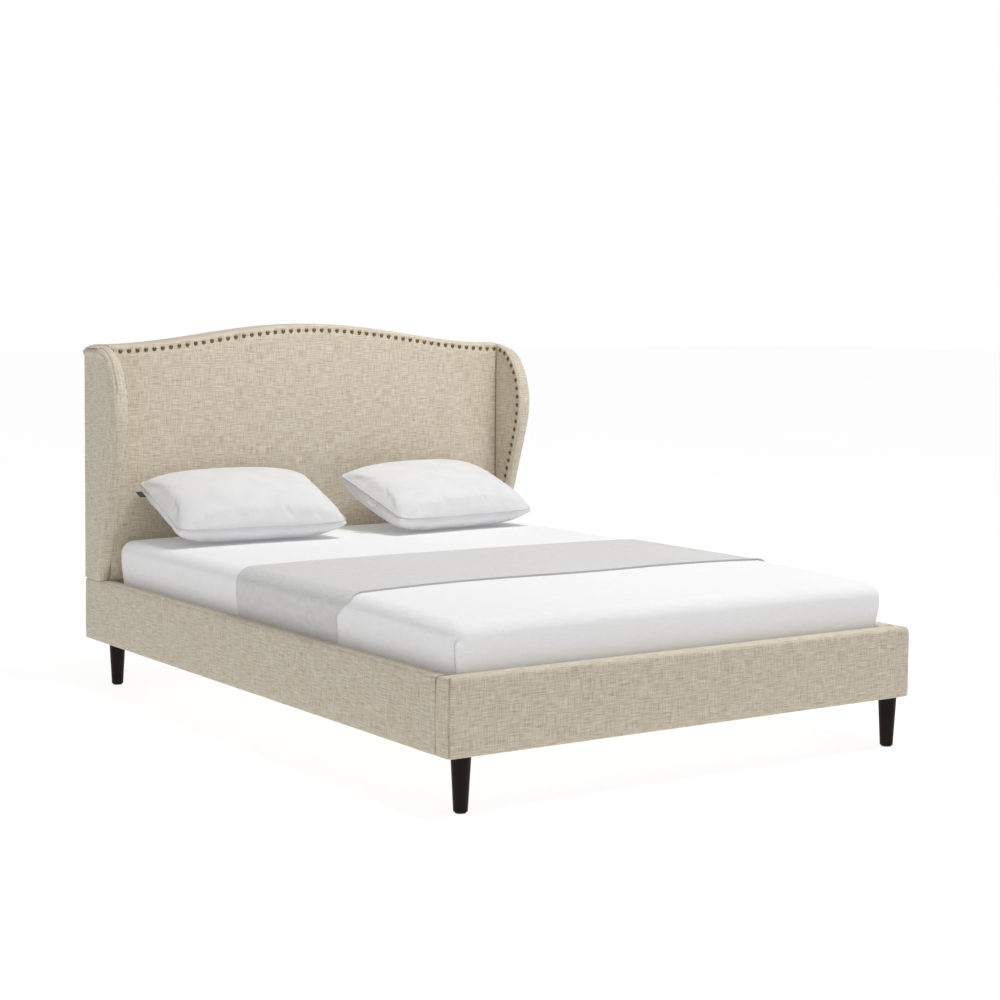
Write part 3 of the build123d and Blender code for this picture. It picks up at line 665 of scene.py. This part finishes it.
# The outer face swells along the rim and dips behind it. Both fade out at the wing's foot.
rim_full = np.clip((flat[:, 1] - wing_foot) / 0.03, 0, 1)
inner_face = wing_inner + rounding(rim, 0.008)
outer_face = flared(flat[:, 0]) - rounding(rim, 0.013)
dip = np.exp(-((rim - 0.030) / 0.0034) ** 2) * np.clip((flat[:, 1] - wing_foot) / 0.12, 0, 1)
dip *= np.clip((wing_high.z - flat[:, 1]) / 0.12, 0, 1)
outer_face += (0.0055 * np.exp(-((rim - 0.013) / 0.0125) ** 2) - 0.0038 * dip) * rim_full
wing_spots = np.column_stack([inner_face, flat])
outer_face += (0.0006 + ripple(wing_spots, 23, 0.0008, 0.2)) * np.clip(rim / 0.03, 0, 1)
wing_tips = nail_tips("wing_nails_right", 0, -1)
inner_face += 0.0016 * np.exp(-(nearest(flat, wing_tips[:, 1:]) / 0.009) ** 2)
# The inner top edge is drawn up beside the headboard, which stands a little higher.
board_pull, pull_depth, pull_level = 0.009, 0.90, 1.09
beside_board = np.clip((flat[:, 0] - pull_depth) / 0.10, 0, 1)
beside_board = beside_board * np.clip((flat[:, 1] - pull_level) / 0.049, 0, 1)
inner = np.column_stack([inner_face, flat[:, 0], flat[:, 1] + board_pull * beside_board**2])
outer = np.column_stack([outer_face, flat])
grid = lattice(*depth.shape)
total = len(inner)
index = np.arange(total).reshape(depth.shape)
border = np.concatenate([index[:, 0], index[-1, 1:], index[::-1, -1][1:], index[0, ::-1][1:-1]])


def rim_band(border, inner, outer, steps, swell):
    """Rings of points from the inner face's border to the outer one's, swelling outwards by a
    parabola that is swell high halfway, except along the wing's back and foot."""
    share = np.linspace(0, 1, steps)[1:-1, None, None]
    rings = inner[border][None] * (1 - share) + outer[border][None] * share
    bulge = swell * 4 * share[:, :, 0] * (1 - share[:, :, 0])
    free = (inner[border, 1] < wing_back - 0.004) & (inner[border, 2] > wing_foot + 0.004)
    y, z = inner[border, 1], inner[border, 2]
    way = np.stack([np.gradient(z), -np.gradient(y)], axis=1)
    way /= np.maximum(np.linalg.norm(way, axis=1), 1e-9)[:, None]
    rings[:, :, 1] -= bulge * way[None, :, 0] * free
    rings[:, :, 2] -= bulge * way[None, :, 1] * free
    return rings


band = rim_band(border, inner, outer, steps=9, swell=0.0022)
band_index = 2 * total + np.arange(len(band) * len(border)).reshape(len(band), -1)
ring_index = np.concatenate([border[None], band_index, (border + total)[None]])
closed = np.concatenate([ring_index, ring_index[:, :1]], axis=1)
shell_points = np.concatenate([inner, outer, band.reshape(-1, 3)])
shell_faces = np.concatenate([grid, grid[:, ::-1] + total, quads(closed)[:, ::-1]])


def outward_closed(name, points, faces, material):
    """A closed piece whose faces are all turned outwards once coinciding points are joined."""
    piece = new_piece(name, *joined(points, faces), material)
    shell = bmesh.new()
    shell.from_mesh(piece.data)
    bmesh.ops.recalc_face_normals(shell, faces=shell.faces)
    shell.to_mesh(piece.data)
    shell.free()
    return piece


for side, word in ((1, "right"), (-1, "left")):
    wing = outward_closed(f"wing_linen_{word}", shell_points * (side, 1, 1), shell_faces, linen)
    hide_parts(f"wing_cover_{word}", f"wing_foam_{word}")
    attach(wing, "frame")

# Painted shade: a thin brown cord lies in the groove where each outer face meets the rim's own
# strip of linen, and another runs up the shaded corner between each wing and the headboard.
shade_line_inset, shade_line_sunk = 0.030, 0.0024
way = np.gradient(outline, axis=0)
way /= np.maximum(np.linalg.norm(way, axis=1), 1e-9)[:, None]
offset = outline + np.column_stack([way[:, 1], -way[:, 0]]) * shade_line_inset
offset = offset[(offset[:, 1] > wing_foot + 0.01) & (offset[:, 0] < wing_back - 0.03)][::2]
shade_line_x = flared(offset[:, 0]) - shade_line_sunk
corner_rise = np.linspace(wing_foot + 0.005, wing_high.z - 0.008, 40)
corner_x, corner_y = wing_inner - 0.0006, board_low.y - 0.0012
for side, word in ((1, "right"), (-1, "left")):
    line = np.column_stack([side * shade_line_x, offset])
    seam = new_piece(f"wing_shade_line_{word}", *cord(line, 0.0009), brown_thread_and_shade_lines)
    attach(seam, "frame")
    corner = np.column_stack([np.full(40, side * corner_x), np.full(40, corner_y), corner_rise])
    corner_shade_line = new_piece(f"wing_corner_shade_line_{word}", *cord(corner, 0.0012), brown_thread_and_shade_lines)
    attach(corner_shade_line, "frame")

# ---------------------------------------------------------------- nails
# Domed steel upholstery nails, driven through the linen just inside its edges, with an antique
# bronze finish: dark brown, mottled with brass.


def bronze_finish():
    """Bronze, from dark and smoother to brassy and rougher by one fine noise."""
    finish = Finish("antique_bronze", {"Metallic": 1.0})
    patina = finish.noise(finish.place(), 420.0, 2.0)
    colour = finish.ramp(
        patina,
        (0.32, (0.085, 0.055, 0.028)),
        (0.55, (0.24, 0.165, 0.085)),
        (0.75, (0.46, 0.34, 0.19)),
    )
    finish.put(finish.shader.inputs["Roughness"], 0.24 + patina * 0.28)
    finish.bump(patina, 0.0002, 0.4)
    return finish.colour(colour)


def refinish(material, *nodes):
    """Gives CAD nodes a material."""
    for node in nodes:
        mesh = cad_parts[node].data
        mesh.materials.clear()
        mesh.materials.append(material)


refinish(
    bronze_finish(),
    "headboard_nails_left", "headboard_nails_right", "wing_nails_left", "wing_nails_right",
)

# ---------------------------------------------------------------- legs
# Turned beech, tapering to the floor, in espresso lacquer through which the grain just shows.


def timber_finish(name, dark, light, grain_axis, roughness, ring=38.0, coat=0.0, shine=0.35):
    """Wood: rings of noise stretched along the grain, with fine pores on top."""
    finish = Finish(name, {"Coat Weight": coat, "Coat Roughness": 0.3, "Specular IOR Level": shine})
    place = finish.parts(finish.place())
    stretched = [p * (1.0 if i != grain_axis else 0.06) for i, p in enumerate(place)]
    figure = finish.noise(finish.across(*stretched), ring, 3.0, 0.6)
    pores = finish.noise(finish.across(*stretched), ring * 14, 1.0)
    tone = figure * 0.75 + pores * 0.25
    finish.put(finish.shader.inputs["Roughness"], roughness + pores * 0.15)
    finish.bump(tone, 0.0003, 0.3)
    return finish.colour(finish.ramp(tone, (0.35, dark), (0.65, light)))


espresso = timber_finish(
    "espresso_lacquer", (0.0075, 0.0035, 0.0018), (0.017, 0.0085, 0.0050), grain_axis=2,
    roughness=0.42, ring=60.0, coat=0.02, shine=0.12,
)
refinish(
    espresso, "leg_foot_left", "leg_foot_right", "leg_head_left", "leg_head_right", "centre_legs",
)

# ---------------------------------------------------------------- timber, steel and straps inside
# Pine slats on pine ledges, plywood boards, cut foam, a black steel beam and zinc-plated fixings.


def plain_finish(name, first, second, scale, roughness, height, metallic=0.0):
    """A worked surface: two close tones mottled by noise, with the same noise as its relief."""
    finish = Finish(name, {"Metallic": metallic})
    mottle = finish.noise(finish.place(), scale, 2.0)
    finish.put(finish.shader.inputs["Roughness"], roughness + mottle * 0.2)
    finish.bump(mottle, height, 0.5)
    return finish.colour(finish.ramp(mottle, (0.3, first), (0.7, second)))


pine_tones, pine_ring = ((0.44, 0.29, 0.15), (0.66, 0.48, 0.29)), 22.0
pine_across = timber_finish(
    "pine_slat", (0.46, 0.30, 0.15), (0.68, 0.50, 0.30), grain_axis=0, roughness=0.45, ring=pine_ring,
)
pine_upright = timber_finish("pine_post", *pine_tones, grain_axis=2, roughness=0.5, ring=pine_ring)
pine_along = timber_finish("pine_ledge", *pine_tones, grain_axis=1, roughness=0.5, ring=pine_ring)
plywood = timber_finish(
    "birch_plywood", (0.42, 0.31, 0.19), (0.58, 0.45, 0.30), grain_axis=1, roughness=0.5, ring=30.0,
)
refinish(pine_across, "slats", "headboard_top_rail", "headboard_bottom_rail")
refinish(pine_upright, "headboard_studs", "headboard_posts", "corner_blocks")
refinish(pine_along, "slat_ledge_left", "slat_ledge_right")
refinish(
    plywood, "headboard_front_board", "headboard_back_board", "foot_rail_board", "head_rail_board",
    "side_rail_board_left", "side_rail_board_right", "wing_board_left", "wing_board_right",
)
foam = plain_finish("cut_foam", (0.80, 0.74, 0.56), (0.88, 0.84, 0.70), 700.0, 0.8, 0.001)
refinish(foam, "headboard_foam")
zinc = plain_finish(
    "zinc_plate", (0.52, 0.52, 0.50), (0.70, 0.70, 0.66), 90.0, 0.3, 0.0002, metallic=1.0,
)
refinish(
    zinc, "corner_brackets", "frame_bolts", "post_bolts", "wing_bolts", "ledge_screws", "leg_bolts",
)
black_steel = plain_finish(
    "black_powder_coat", (0.012, 0.012, 0.012), (0.022, 0.022, 0.022), 1500.0, 0.45, 0.0003,
)
refinish(black_steel, "centre_beam", "beam_shoes")
glides = plain_finish(
    "black_plastic", (0.018, 0.018, 0.018), (0.03, 0.03, 0.03), 500.0, 0.5, 0.0001,
)
refinish(glides, "leg_glides", "centre_leg_glides")


def strap_finish():
    """Woven polypropylene tape: a fine weave, the product of a sine along and one across."""
    finish = Finish("woven_strap", {"Roughness": 0.7})
    x, y, _ = finish.parts(finish.place())
    rib = (x * 3900.0).maths("SINE") * (y * 2100.0).maths("SINE")
    finish.bump(rib, 0.0003, 0.6)
    blacks = (0.0, (0.012, 0.012, 0.013)), (1.0, (0.04, 0.04, 0.042))
    return finish.colour(finish.ramp(rib * 0.5 + 0.5, *blacks))


refinish(strap_finish(), "slat_straps")

# ---------------------------------------------------------------- mattress
# A foam mattress in knitted ticking, crowned on top, with a taped edge round its underside. It
# has settled a little towards the foot end and along its sides.


def ticking_finish():
    """Knitted ticking quilted in small lozenges: the product of two slanting sines."""
    finish = Finish("knitted_ticking", {"Roughness": 0.85, "Specular IOR Level": 0.2})
    x, y, z = finish.parts(finish.place())
    quilt = ((x + y + z) * 62.0).maths("SINE") * ((x - y - z) * 62.0).maths("SINE")
    knit = finish.noise(finish.place(), 900.0, 1.0)
    finish.bump(abs(quilt) + knit * 0.15, 0.0035, 0.6)
    return finish.colour(finish.ramp(knit, (0.3, (0.78, 0.77, 0.74)), (0.7, (0.88, 0.88, 0.85))))


bed_low, bed_high = (np.array(corner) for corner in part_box("mattress"))
edge_radius = 0.042


def settle(points):
    """Lowers the bed's upper parts, up to 15 mm at the foot end and 6 mm at the sides, and lets
    its sides and foot swell out by 1.2 and 0.8 per cent as they rise clear of the rails."""
    x, y, z = points.T
    clear = np.clip((z - rail_high.z + 0.015) / 0.09, 0, 1)
    clear = clear**2 * (3 - 2 * clear)
    x = x * (1 + 0.012 * clear)
    y = np.where(y < 0, y * (1 + 0.008 * clear), y)
    to_foot = np.clip((bed_low[1] + 0.55 - y) / 0.55, 0, 1)
    drop = 0.015 * to_foot**1.6 + 0.006 * np.clip(np.abs(x) / bed_high[0], 0, 1) ** 4
    share = np.clip((z - bed_low[2]) / (bed_high[2] - bed_low[2]), 0, 1)
    return np.column_stack([x, y, z - drop * share**2])


def graded(low, high, radius, step):
    """Grid lines from low to high: close together within radius of each end, step apart between."""
    bend = radius * np.tan(np.linspace(0, np.pi / 4, 9))
    count = max(2, int((high - low - 2 * radius) / step))
    straight = np.linspace(low + radius, high - radius, count)[1:-1]
    return np.concatenate([low + radius - bend[::-1], straight, high - radius + bend])


def box_sides(xs, ys, zs, sides):
    """Quads over the named faces of a box, on grid lines xs, ys and zs, facing outwards."""
    lines = (xs, ys, zs)
    points, faces, count = [], [], 0
    for axis, end in sides:
        a, b = [(1, 2), (2, 0), (0, 1)][axis]
        first, second = np.meshgrid(lines[a], lines[b], indexing="ij")
        patch = np.zeros((first.size, 3))
        patch[:, a], patch[:, b] = first.ravel(), second.ravel()
        patch[:, axis] = lines[axis][0 if end < 0 else -1]
        cells = lattice(len(lines[a]), len(lines[b]))
        points.append(patch)
        faces.append((cells if end < 0 else cells[:, ::-1]) + count)
        count += len(patch)
    return np.concatenate(points), np.concatenate(faces)


def rounded(points, low, high, radius, open_low=(False, False, False)):
    """Rounds a box's edges: each point moves to radius from the smaller box inside it. An open
    low side isn't drawn in."""
    core = np.clip(points, low + radius * ~np.array(open_low), high - radius)
    away = points - core
    reach = np.linalg.norm(away, axis=1, keepdims=True)
    way = away / np.maximum(reach, 1e-9)
    return core + way * radius * (reach > 1e-9), way


xs = graded(bed_low[0], bed_high[0], edge_radius, 0.03)
ys = graded(bed_low[1], bed_high[1], edge_radius, 0.03)
zs = graded(bed_low[2], bed_high[2], edge_radius, 0.03)
every_side = [(axis, end) for axis in range(3) for end in (-1, 1)]
points, faces = box_sides(xs, ys, zs, every_side)
points, _ = rounded(points, bed_low, bed_high, edge_radius)
points = settle(points)
ticking = ticking_finish()
mattress = new_piece("mattress_body", *joined(points, faces), ticking)
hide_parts("mattress")
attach(mattress, "mattress_set")

tape_inset = edge_radius * (1 - np.cos(np.pi / 4)) - 0.001
centre, angle, _ = plan_loop(bed_low[:2] + tape_inset, bed_high[:2] - tape_inset, (edge_radius,) * 4, 0.03)
tape_line = centre + np.stack([np.cos(angle), np.sin(angle)], axis=1) * edge_radius
tape_line = np.column_stack([tape_line, np.full(len(tape_line), bed_low[2] + tape_inset)])
grey_tape = plain_finish("edge_tape", (0.55, 0.55, 0.54), (0.66, 0.66, 0.65), 800.0, 0.7, 0.0003)
tape = new_piece("mattress_edge_tape", *cord(tape_line, 0.003, sides=8, closed=True), grey_tape)
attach(tape, "mattress_set")

# ---------------------------------------------------------------- sheets
# White percale: a fitted sheet drawn over the mattress, and a coverlet tucked in over its foot
# half. The coverlet is folded back on itself, which shows its grey underside as a band.


def cotton_finish(name, shade, tint):
    """Percale: a fine even weave, slubs and soft crumples as relief. Its slight glow isn't a
    property of cotton: it only makes the bedding brighter under the studio's light."""
    finish = Finish(name, {
        "Roughness": 0.88, "Specular IOR Level": 0.15, "Sheen Weight": 0.12, "Sheen Roughness": 0.5,
        "Emission Color": (1.0, 1.0, 1.0, 1.0), "Emission Strength": 0.12,
    })
    place = finish.place()
    x, y, z = finish.parts(place)
    weave = (x * 5200.0).maths("SINE") * (y * 5200.0).maths("SINE")
    slub = finish.noise(finish.across(x * 30.0, y * 300.0, z * 300.0), 1.0, 1.0)
    slub_other = finish.noise(finish.across(x * 300.0, y * 30.0, z * 40.0), 1.0, 1.0)
    cloud = finish.noise(place, 3.0, 2.0)
    tone = (slub + slub_other) * 0.42 + cloud * 0.16
    crease = finish.noise(place, 16.0, 3.0, 0.6)
    finish.bump(weave * 0.03 + (slub + slub_other) * 0.22 + crease * 1.6, 0.003, 0.5)
    return finish.colour(finish.ramp(tone, (0.35, shade), (0.65, tint)))


white_cotton = cotton_finish("white_percale", (0.81, 0.81, 0.82), (0.87, 0.87, 0.88))
grey_cotton = cotton_finish("grey_percale", (0.55, 0.545, 0.54), (0.65, 0.645, 0.64))
hem_height = 0.018  # above the mattress's underside
fitted_skin, coverlet_skin, turnback_skin = 0.0016, 0.0048, 0.0088  # from mattress to cloth
cloth_cell = 0.0125


def creases(points, seed, count, reach, low, high, size=0.008, height=0.0012):
    """Soft ridges: straight lines at random places, each a low bell across and fading along."""
    rng = np.random.default_rng(seed)
    lift = np.zeros(len(points))
    for _ in range(count):
        spot = rng.uniform(low, high)
        way = rng.normal(size=3) * reach
        length = np.linalg.norm(way)
        way /= max(length, 1e-9)
        wide, tall = size * rng.uniform(0.7, 1.7), height * rng.uniform(0.4, 1.0)
        offset = points - spot
        along = offset @ way
        off = np.sqrt(np.maximum((offset**2).sum(axis=1) - along**2, 0))
        lift += tall * np.exp(-((off / wide) ** 2) - (along / max(length, 0.02)) ** 2)
    return lift


def corner_fold(points, way, low, radius):
    """The tucked corner at the foot: a soft ridge beside a sharp crease. Both run upright, and
    are placed by the distance round the corner from its middle, towards the foot's middle."""
    crease_place, fold_top, fold_foot = 0.030, 0.452, 0.30
    ridge_height, ridge_width = 0.0115, 0.016
    crease_depth, crease_width = 0.0028, 0.004
    bend = np.arctan2(-way[:, 0], np.maximum(-way[:, 1], 1e-6))
    past = points[:, 0] - low[0] - radius
    around = np.where(points[:, 0] > low[0] + radius, past, -radius * bend) + crease_place
    upright = np.clip((fold_top - points[:, 2]) / 0.02, 0, 1)
    upright = upright * np.clip((points[:, 2] - fold_foot) / 0.08, 0.25, 1)
    front = (points[:, 1] < low[1] + 0.05) & (points[:, 2] < 0.456)
    ridge = ridge_height * np.exp(-((around / ridge_width) ** 2))
    crease = -crease_depth * np.exp(-((around / crease_width) ** 2))
    return np.where(around > 0, ridge, crease) * upright * front


def hem_wander(points, y_low, y_high):
    """How far the coverlet's fold and its turned-back hem stray from straight across the bed: the
    fold runs 30 mm aslant, and the hem swings by a cosine, further towards the foot on top."""
    x, y, z = points.T
    fold = -0.030 * (x + 0.76) / 1.52
    if y_low is None:
        return fold * np.clip((y - y_high + 0.3) / 0.3, 0, 1)
    hem = -0.045 - 0.009 * np.cos(2 * np.pi * (x + 0.8) / 0.9) - 0.020 * np.clip((x - 0.3) / 0.4, 0, 1)
    top = np.clip((z - 0.43) / 0.05, 0, 1)
    hem = hem * top + 0.005 * (1 - top)
    share = np.clip((y - y_low) / (y_high - y_low), 0, 1)
    return hem * (1 - share) + fold * share


def sheet_layer(name, skin, y_low, y_high, seed, count, height, material, folded=False):
    """One layer of bedding: the mattress's rounded form grown by skin, cut between two lines
    across the bed, open below and creased outwards."""
    low = np.array([bed_low[0] - skin, bed_low[1] - skin, bed_low[2] + hem_height])
    high = bed_high + skin
    radius = edge_radius + skin
    sides = [(0, -1), (0, 1), (2, 1)]
    lines = graded(low[1], high[1], radius, cloth_cell)
    if y_low is None:
        sides.append((1, -1))
    else:
        near = y_low + np.array([0.0, 0.002, 0.005, 0.009])
        lines = np.concatenate([near, lines[lines > y_low + 0.013]])
    if y_high is None:
        sides.append((1, 1))
    else:
        near = y_high - np.array([0.009, 0.006, 0.0035, 0.0015, 0.0004, 0.0])
        lines = np.concatenate([lines[lines < y_high - 0.013], near])
    columns = graded(low[0], high[0], radius, cloth_cell)
    if folded:
        fine = low[0] + np.linspace(0.0, 0.05, 36)
        coarse = columns[(columns > fine[-1] + 0.001) | (columns <= low[0])]
        columns = np.unique(np.concatenate([fine, coarse]))
    bend = high[2] - radius + radius * np.tan(np.linspace(0, np.pi / 4, 9))
    rise = np.concatenate([np.linspace(low[2], high[2] - radius, 19)[:-1], bend])
    points, faces = box_sides(columns, lines, rise, sides)
    points, way = rounded(points, low, high, radius, open_low=(False, False, True))
    away = np.where(np.abs(way).sum(axis=1, keepdims=True) > 0, way, (0.0, 0.0, 1.0))
    lift = creases(points, seed, count, (0.16, 0.16, 0.10), low, high, height=height)
    if folded:
        lift = lift + corner_fold(points, way, low, radius)
    if y_low is not None:
        over = np.clip((points[:, 2] - high[2] + radius) / radius, 0, 1)
        lift = lift + 0.0030 * np.exp(-(((points[:, 1] - y_low) / 0.012) ** 2)) * over
        lift = lift - 0.0064 * np.clip(1 - (y_high - points[:, 1]) / 0.009, 0, 1) ** 2.5
    points = points + away * lift[:, None]
    if y_high is not None:
        points[:, 1] += hem_wander(points, y_low, y_high)
    points, faces = joined(settle(points), faces)
    return new_piece(name, points, faces, material)


def thicken(piece, thickness):
    """A cloth's own thickness, added inwards."""
    shell = piece.modifiers.new("thickness", "SOLIDIFY")
    shell.thickness = thickness
    shell.offset = -1.0


fitted = sheet_layer(
    "fitted_sheet_cloth", fitted_skin, None, None, seed=31, count=46, height=0.0011,
    material=white_cotton,
)
thicken(fitted, 0.0008)
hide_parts("fitted_sheet")
side_drop = bed_high[2] - bed_low[2] - hem_height
sheet_size = (bed_high[0] - bed_low[0] + 2 * side_drop, bed_high[1] - bed_low[1] + 2 * side_drop)
sheet_size[0] * sheet_size[1] - 4 * side_drop**2
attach(fitted, "mattress_set")

fold_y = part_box("coverlet")[1].y
hem_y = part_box("coverlet_turnback")[0].y
coverlet = sheet_layer(
    "coverlet_cloth", coverlet_skin, None, fold_y - 0.004, seed=37, count=60, height=0.0013,
    material=white_cotton, folded=True,
)
thicken(coverlet, 0.0012)
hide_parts("coverlet")
cover_size = (sheet_size[0], fold_y - bed_low[1] + side_drop)
cover_size[0] * cover_size[1] - 2 * side_drop**2
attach(coverlet, "mattress_set")

# The folded edge of the coverlet's tucked corner stands upright on the left of the foot end. Beside
# it a grey cord shows a sliver of the grey underside and paints the shadow line of the fold.
cloth_corner = edge_radius + coverlet_skin
hub = bed_low[:2] - coverlet_skin + cloth_corner
pleat_rise = np.concatenate([np.linspace(0.345, 0.444, 14), [0.448, 0.4505, 0.4515]])
pleat_turn = 0.641 - np.concatenate([np.zeros(14), [0.03, 0.09, 0.17]])


def pleat_line(turn, standing):
    """Up the bed's rounded foot corner, standing clear of the coverlet, at a turn round the
    corner from its foot face."""
    reach = cloth_corner + standing
    line = [hub[0] - reach * np.sin(turn), hub[1] - reach * np.cos(turn), pleat_rise]
    return settle(np.column_stack(line))


edge_cord = cord(pleat_line(pleat_turn, 0.0075), 0.0026, sides=10)
corner_edge = new_piece("coverlet_corner_edge", *edge_cord, white_cotton)
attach(corner_edge, "mattress_set")
underside_shade_cord = cord(pleat_line(pleat_turn + 0.085, 0.0022), 0.0017, sides=8)
corner_underside_shade = new_piece("coverlet_corner_underside_shade", *underside_shade_cord, grey_cotton)
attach(corner_underside_shade, "mattress_set")

turnback = sheet_layer(
    "coverlet_turned_back", turnback_skin, hem_y, fold_y, seed=37, count=60, height=0.0013,
    material=grey_cotton,
)
thicken(turnback, 0.0016)
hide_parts("coverlet_turnback")
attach(turnback, "mattress_set")

# ---------------------------------------------------------------- pillows
# Two soft pillows in white jacquard cotton, cut from two panels with a corded seam all round. They
# lean towards the headboard, are flat where they rest on the bed, and have a blank label each.


def jacquard_finish():
    """Cotton with a small woven diamond figure, the product of two slanting sines, that shows
    only as relief."""
    finish = Finish("white_jacquard", {
        "Roughness": 0.8, "Specular IOR Level": 0.2, "Sheen Weight": 0.15, "Sheen Roughness": 0.5,
    })
    place = finish.place()
    x, y, z = finish.parts(place)
    figure = ((x + y + z) * 420.0).maths("SINE") * ((x - y - z) * 420.0).maths("SINE")
    soft = finish.noise(place, 14.0, 2.0)
    finish.bump(figure * 0.10 + soft * 0.35, 0.003, 0.3)
    whites = (0.35, (0.78, 0.78, 0.785)), (0.65, (0.82, 0.82, 0.825))
    return finish.colour(finish.ramp(soft, *whites))


jacquard = jacquard_finish()
pillow_tilt = np.radians(20.0)
pillow_turns = {"left": np.radians(-3.0), "right": np.radians(7.0)}
pillow_half = np.array([0.315, 0.205, 0.0825])
seam_height = 0.012


def pillow_form(half, swell, count=61):
    """A pillow before it is filled: two crowned panels on a square grid. Each panel rises from
    its seam as (1 - s^n)^p both ways, and its corners stand out a little past its sides."""
    s = np.sin(np.linspace(-1, 1, count) * np.pi / 2)
    a, b = np.meshgrid(s, s, indexing="ij")
    x = half[0] * a * (1 - 0.02 * (1 - b**2) - 0.03 * b**8)
    y = half[1] * b * (1 - 0.02 * (1 - a**2) - 0.06 * a**6)
    crown = (1 - np.abs(a) ** 2.4) ** 0.55 * (1 - np.abs(b) ** 2.2) ** 0.5
    z = half[2] * swell * crown
    upper = np.stack([x, y, z], axis=-1).reshape(-1, 3)
    lower = upper * (1, 1, -1)
    grid = lattice(count, count)
    points = np.concatenate([upper, lower])
    faces = np.concatenate([grid[:, ::-1], grid + len(upper)])
    return joined(points, faces)


def filled(piece, cap, frames=20):
    """Fills a closed cloth: remeshed evenly, blown up a little by cloth simulation with gravity
    off, and each point held to within cap of where it began."""
    remesh = piece.modifiers.new("even", "REMESH")
    remesh.mode = "VOXEL"
    remesh.voxel_size = 0.006
    remesh.use_smooth_shade = True
    evaluated = piece.evaluated_get(bpy.context.evaluated_depsgraph_get())
    even = bpy.data.meshes.new_from_object(evaluated)
    piece.modifiers.clear()
    piece.data = even
    before = np.zeros(len(even.vertices) * 3, np.float32)
    even.vertices.foreach_get("co", before)
    cloth = piece.modifiers.new("filling", "CLOTH")
    cloth.settings.quality = 6
    cloth.settings.tension_stiffness = 12
    cloth.settings.compression_stiffness = 12
    cloth.settings.bending_stiffness = 0.4
    cloth.settings.use_pressure = True
    cloth.settings.uniform_pressure_force = 4.0
    cloth.settings.effector_weights.gravity = 0.0
    cloth.point_cache.frame_start, cloth.point_cache.frame_end = 1, frames
    for step in range(1, frames + 1):
        bpy.context.scene.frame_set(step)
    evaluated = piece.evaluated_get(bpy.context.evaluated_depsgraph_get())
    blown = bpy.data.meshes.new_from_object(evaluated)
    piece.modifiers.clear()
    after = np.zeros(len(blown.vertices) * 3, np.float32)
    blown.vertices.foreach_get("co", after)
    before, after = before.reshape(-1, 3).astype(float), after.reshape(-1, 3).astype(float)
    move = after - before
    far = np.linalg.norm(move, axis=1, keepdims=True)
    after = before + move * np.minimum(1, cap / np.maximum(far, 1e-9))
    blown.vertices.foreach_set("co", after.astype(np.float32).ravel())
    piece.data = blown
    bpy.context.scene.frame_set(1)
    return after


def seam_line(points, count=300):
    """The furthest reach of a pillow at the seam's height, at even turns round its centre,
    smoothed."""
    middle = points[np.abs(points[:, 2] - seam_height) < 0.005]
    angle = np.arctan2(middle[:, 1] / pillow_half[1], middle[:, 0] / pillow_half[0])
    place = np.floor((angle + np.pi) / (2 * np.pi) * count).astype(int) % count
    reach = np.linalg.norm(middle[:, :2], axis=1)
    order = np.lexsort((reach, place))
    last = np.searchsorted(place[order], np.arange(count), side="right") - 1
    line = middle[order[last]]
    line = np.column_stack([line[:, :2], np.full(count, seam_height)])
    for _ in range(3):
        line = (np.roll(line, 1, axis=0) + 2 * line + np.roll(line, -1, axis=0)) / 4
    return line


def laid(points, turn, centre):
    """Turns points from the pillow's own axes into place: tilted about X, then turned about Z."""
    rise, run = np.sin(pillow_tilt), np.cos(pillow_tilt)
    tilt = np.array([[1, 0, 0], [0, run, -rise], [0, rise, run]])
    spin = np.array([[np.cos(turn), -np.sin(turn), 0], [np.sin(turn), np.cos(turn), 0], [0, 0, 1]])
    return points @ (spin @ tilt).T + centre


def pressed(gap, soft=0.012):
    """A gap that a surface closes softly: below soft it dies away as an exponential, which keeps
    it above zero and leaves no edge."""
    return np.where(gap < soft, soft * np.exp(np.minimum(gap - soft, 0) / soft), gap)


def rested(points, bed_level, board_level):
    """Flattens points against the bed below and the headboard behind."""
    points = points.copy()
    points[:, 2] = bed_level + pressed(points[:, 2] - bed_level)
    points[:, 1] = board_level - pressed(board_level - points[:, 1])
    return points


for word, turn in pillow_turns.items():
    low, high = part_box(f"pillow_{word}")
    centre = (np.array(low) + np.array(high)) / 2
    form = pillow_form(pillow_half * (1.025, 1.02, 1.0), 1.02)
    pillow = new_piece(f"pillow_{word}_cushion", *form, jacquard)
    local = filled(pillow, cap=0.011)
    welt = seam_line(local)
    resting = (low.z + 0.0006, high.y)
    placed = rested(laid(local, turn, centre), *resting)
    pillow.data.vertices.foreach_set("co", placed.astype(np.float32).ravel())
    pillow.data.update()
    pillow.data.materials.clear()
    pillow.data.materials.append(jacquard)
    pillow.data.polygons.foreach_set("use_smooth", [True] * len(pillow.data.polygons))
    smooth = pillow.modifiers.new("smooth", "SUBSURF")
    smooth.levels = smooth.render_levels = 1
    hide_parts(f"pillow_{word}")
    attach(pillow, f"{word}_pillow")
    cord_points, cord_faces = cord(welt * 1.002, 0.0014, closed=True)
    cord_points = rested(laid(cord_points, turn, centre), *resting)
    seam = new_piece(f"pillow_{word}_seam", cord_points, cord_faces, jacquard)
    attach(seam, f"{word}_pillow")


def tape_finish(name, dark, light):
    """Blank woven label tape, lighter and darker by a fine noise that is also its relief."""
    finish = Finish(name, {"Roughness": 0.75})
    rib = finish.noise(finish.place(), 1200.0, 1.0)
    finish.bump(rib, 0.0003, 0.5)
    return finish.colour(finish.ramp(rib, (0.35, dark), (0.65, light)))


dark_tape = tape_finish("dark_label_tape", (0.02, 0.02, 0.022), (0.05, 0.05, 0.053))
pale_tape = tape_finish("grey_label_tape", (0.42, 0.42, 0.43), (0.58, 0.58, 0.59))
refinish(dark_tape, "pillow_label_left")
refinish(pale_tape, "pillow_label_right")
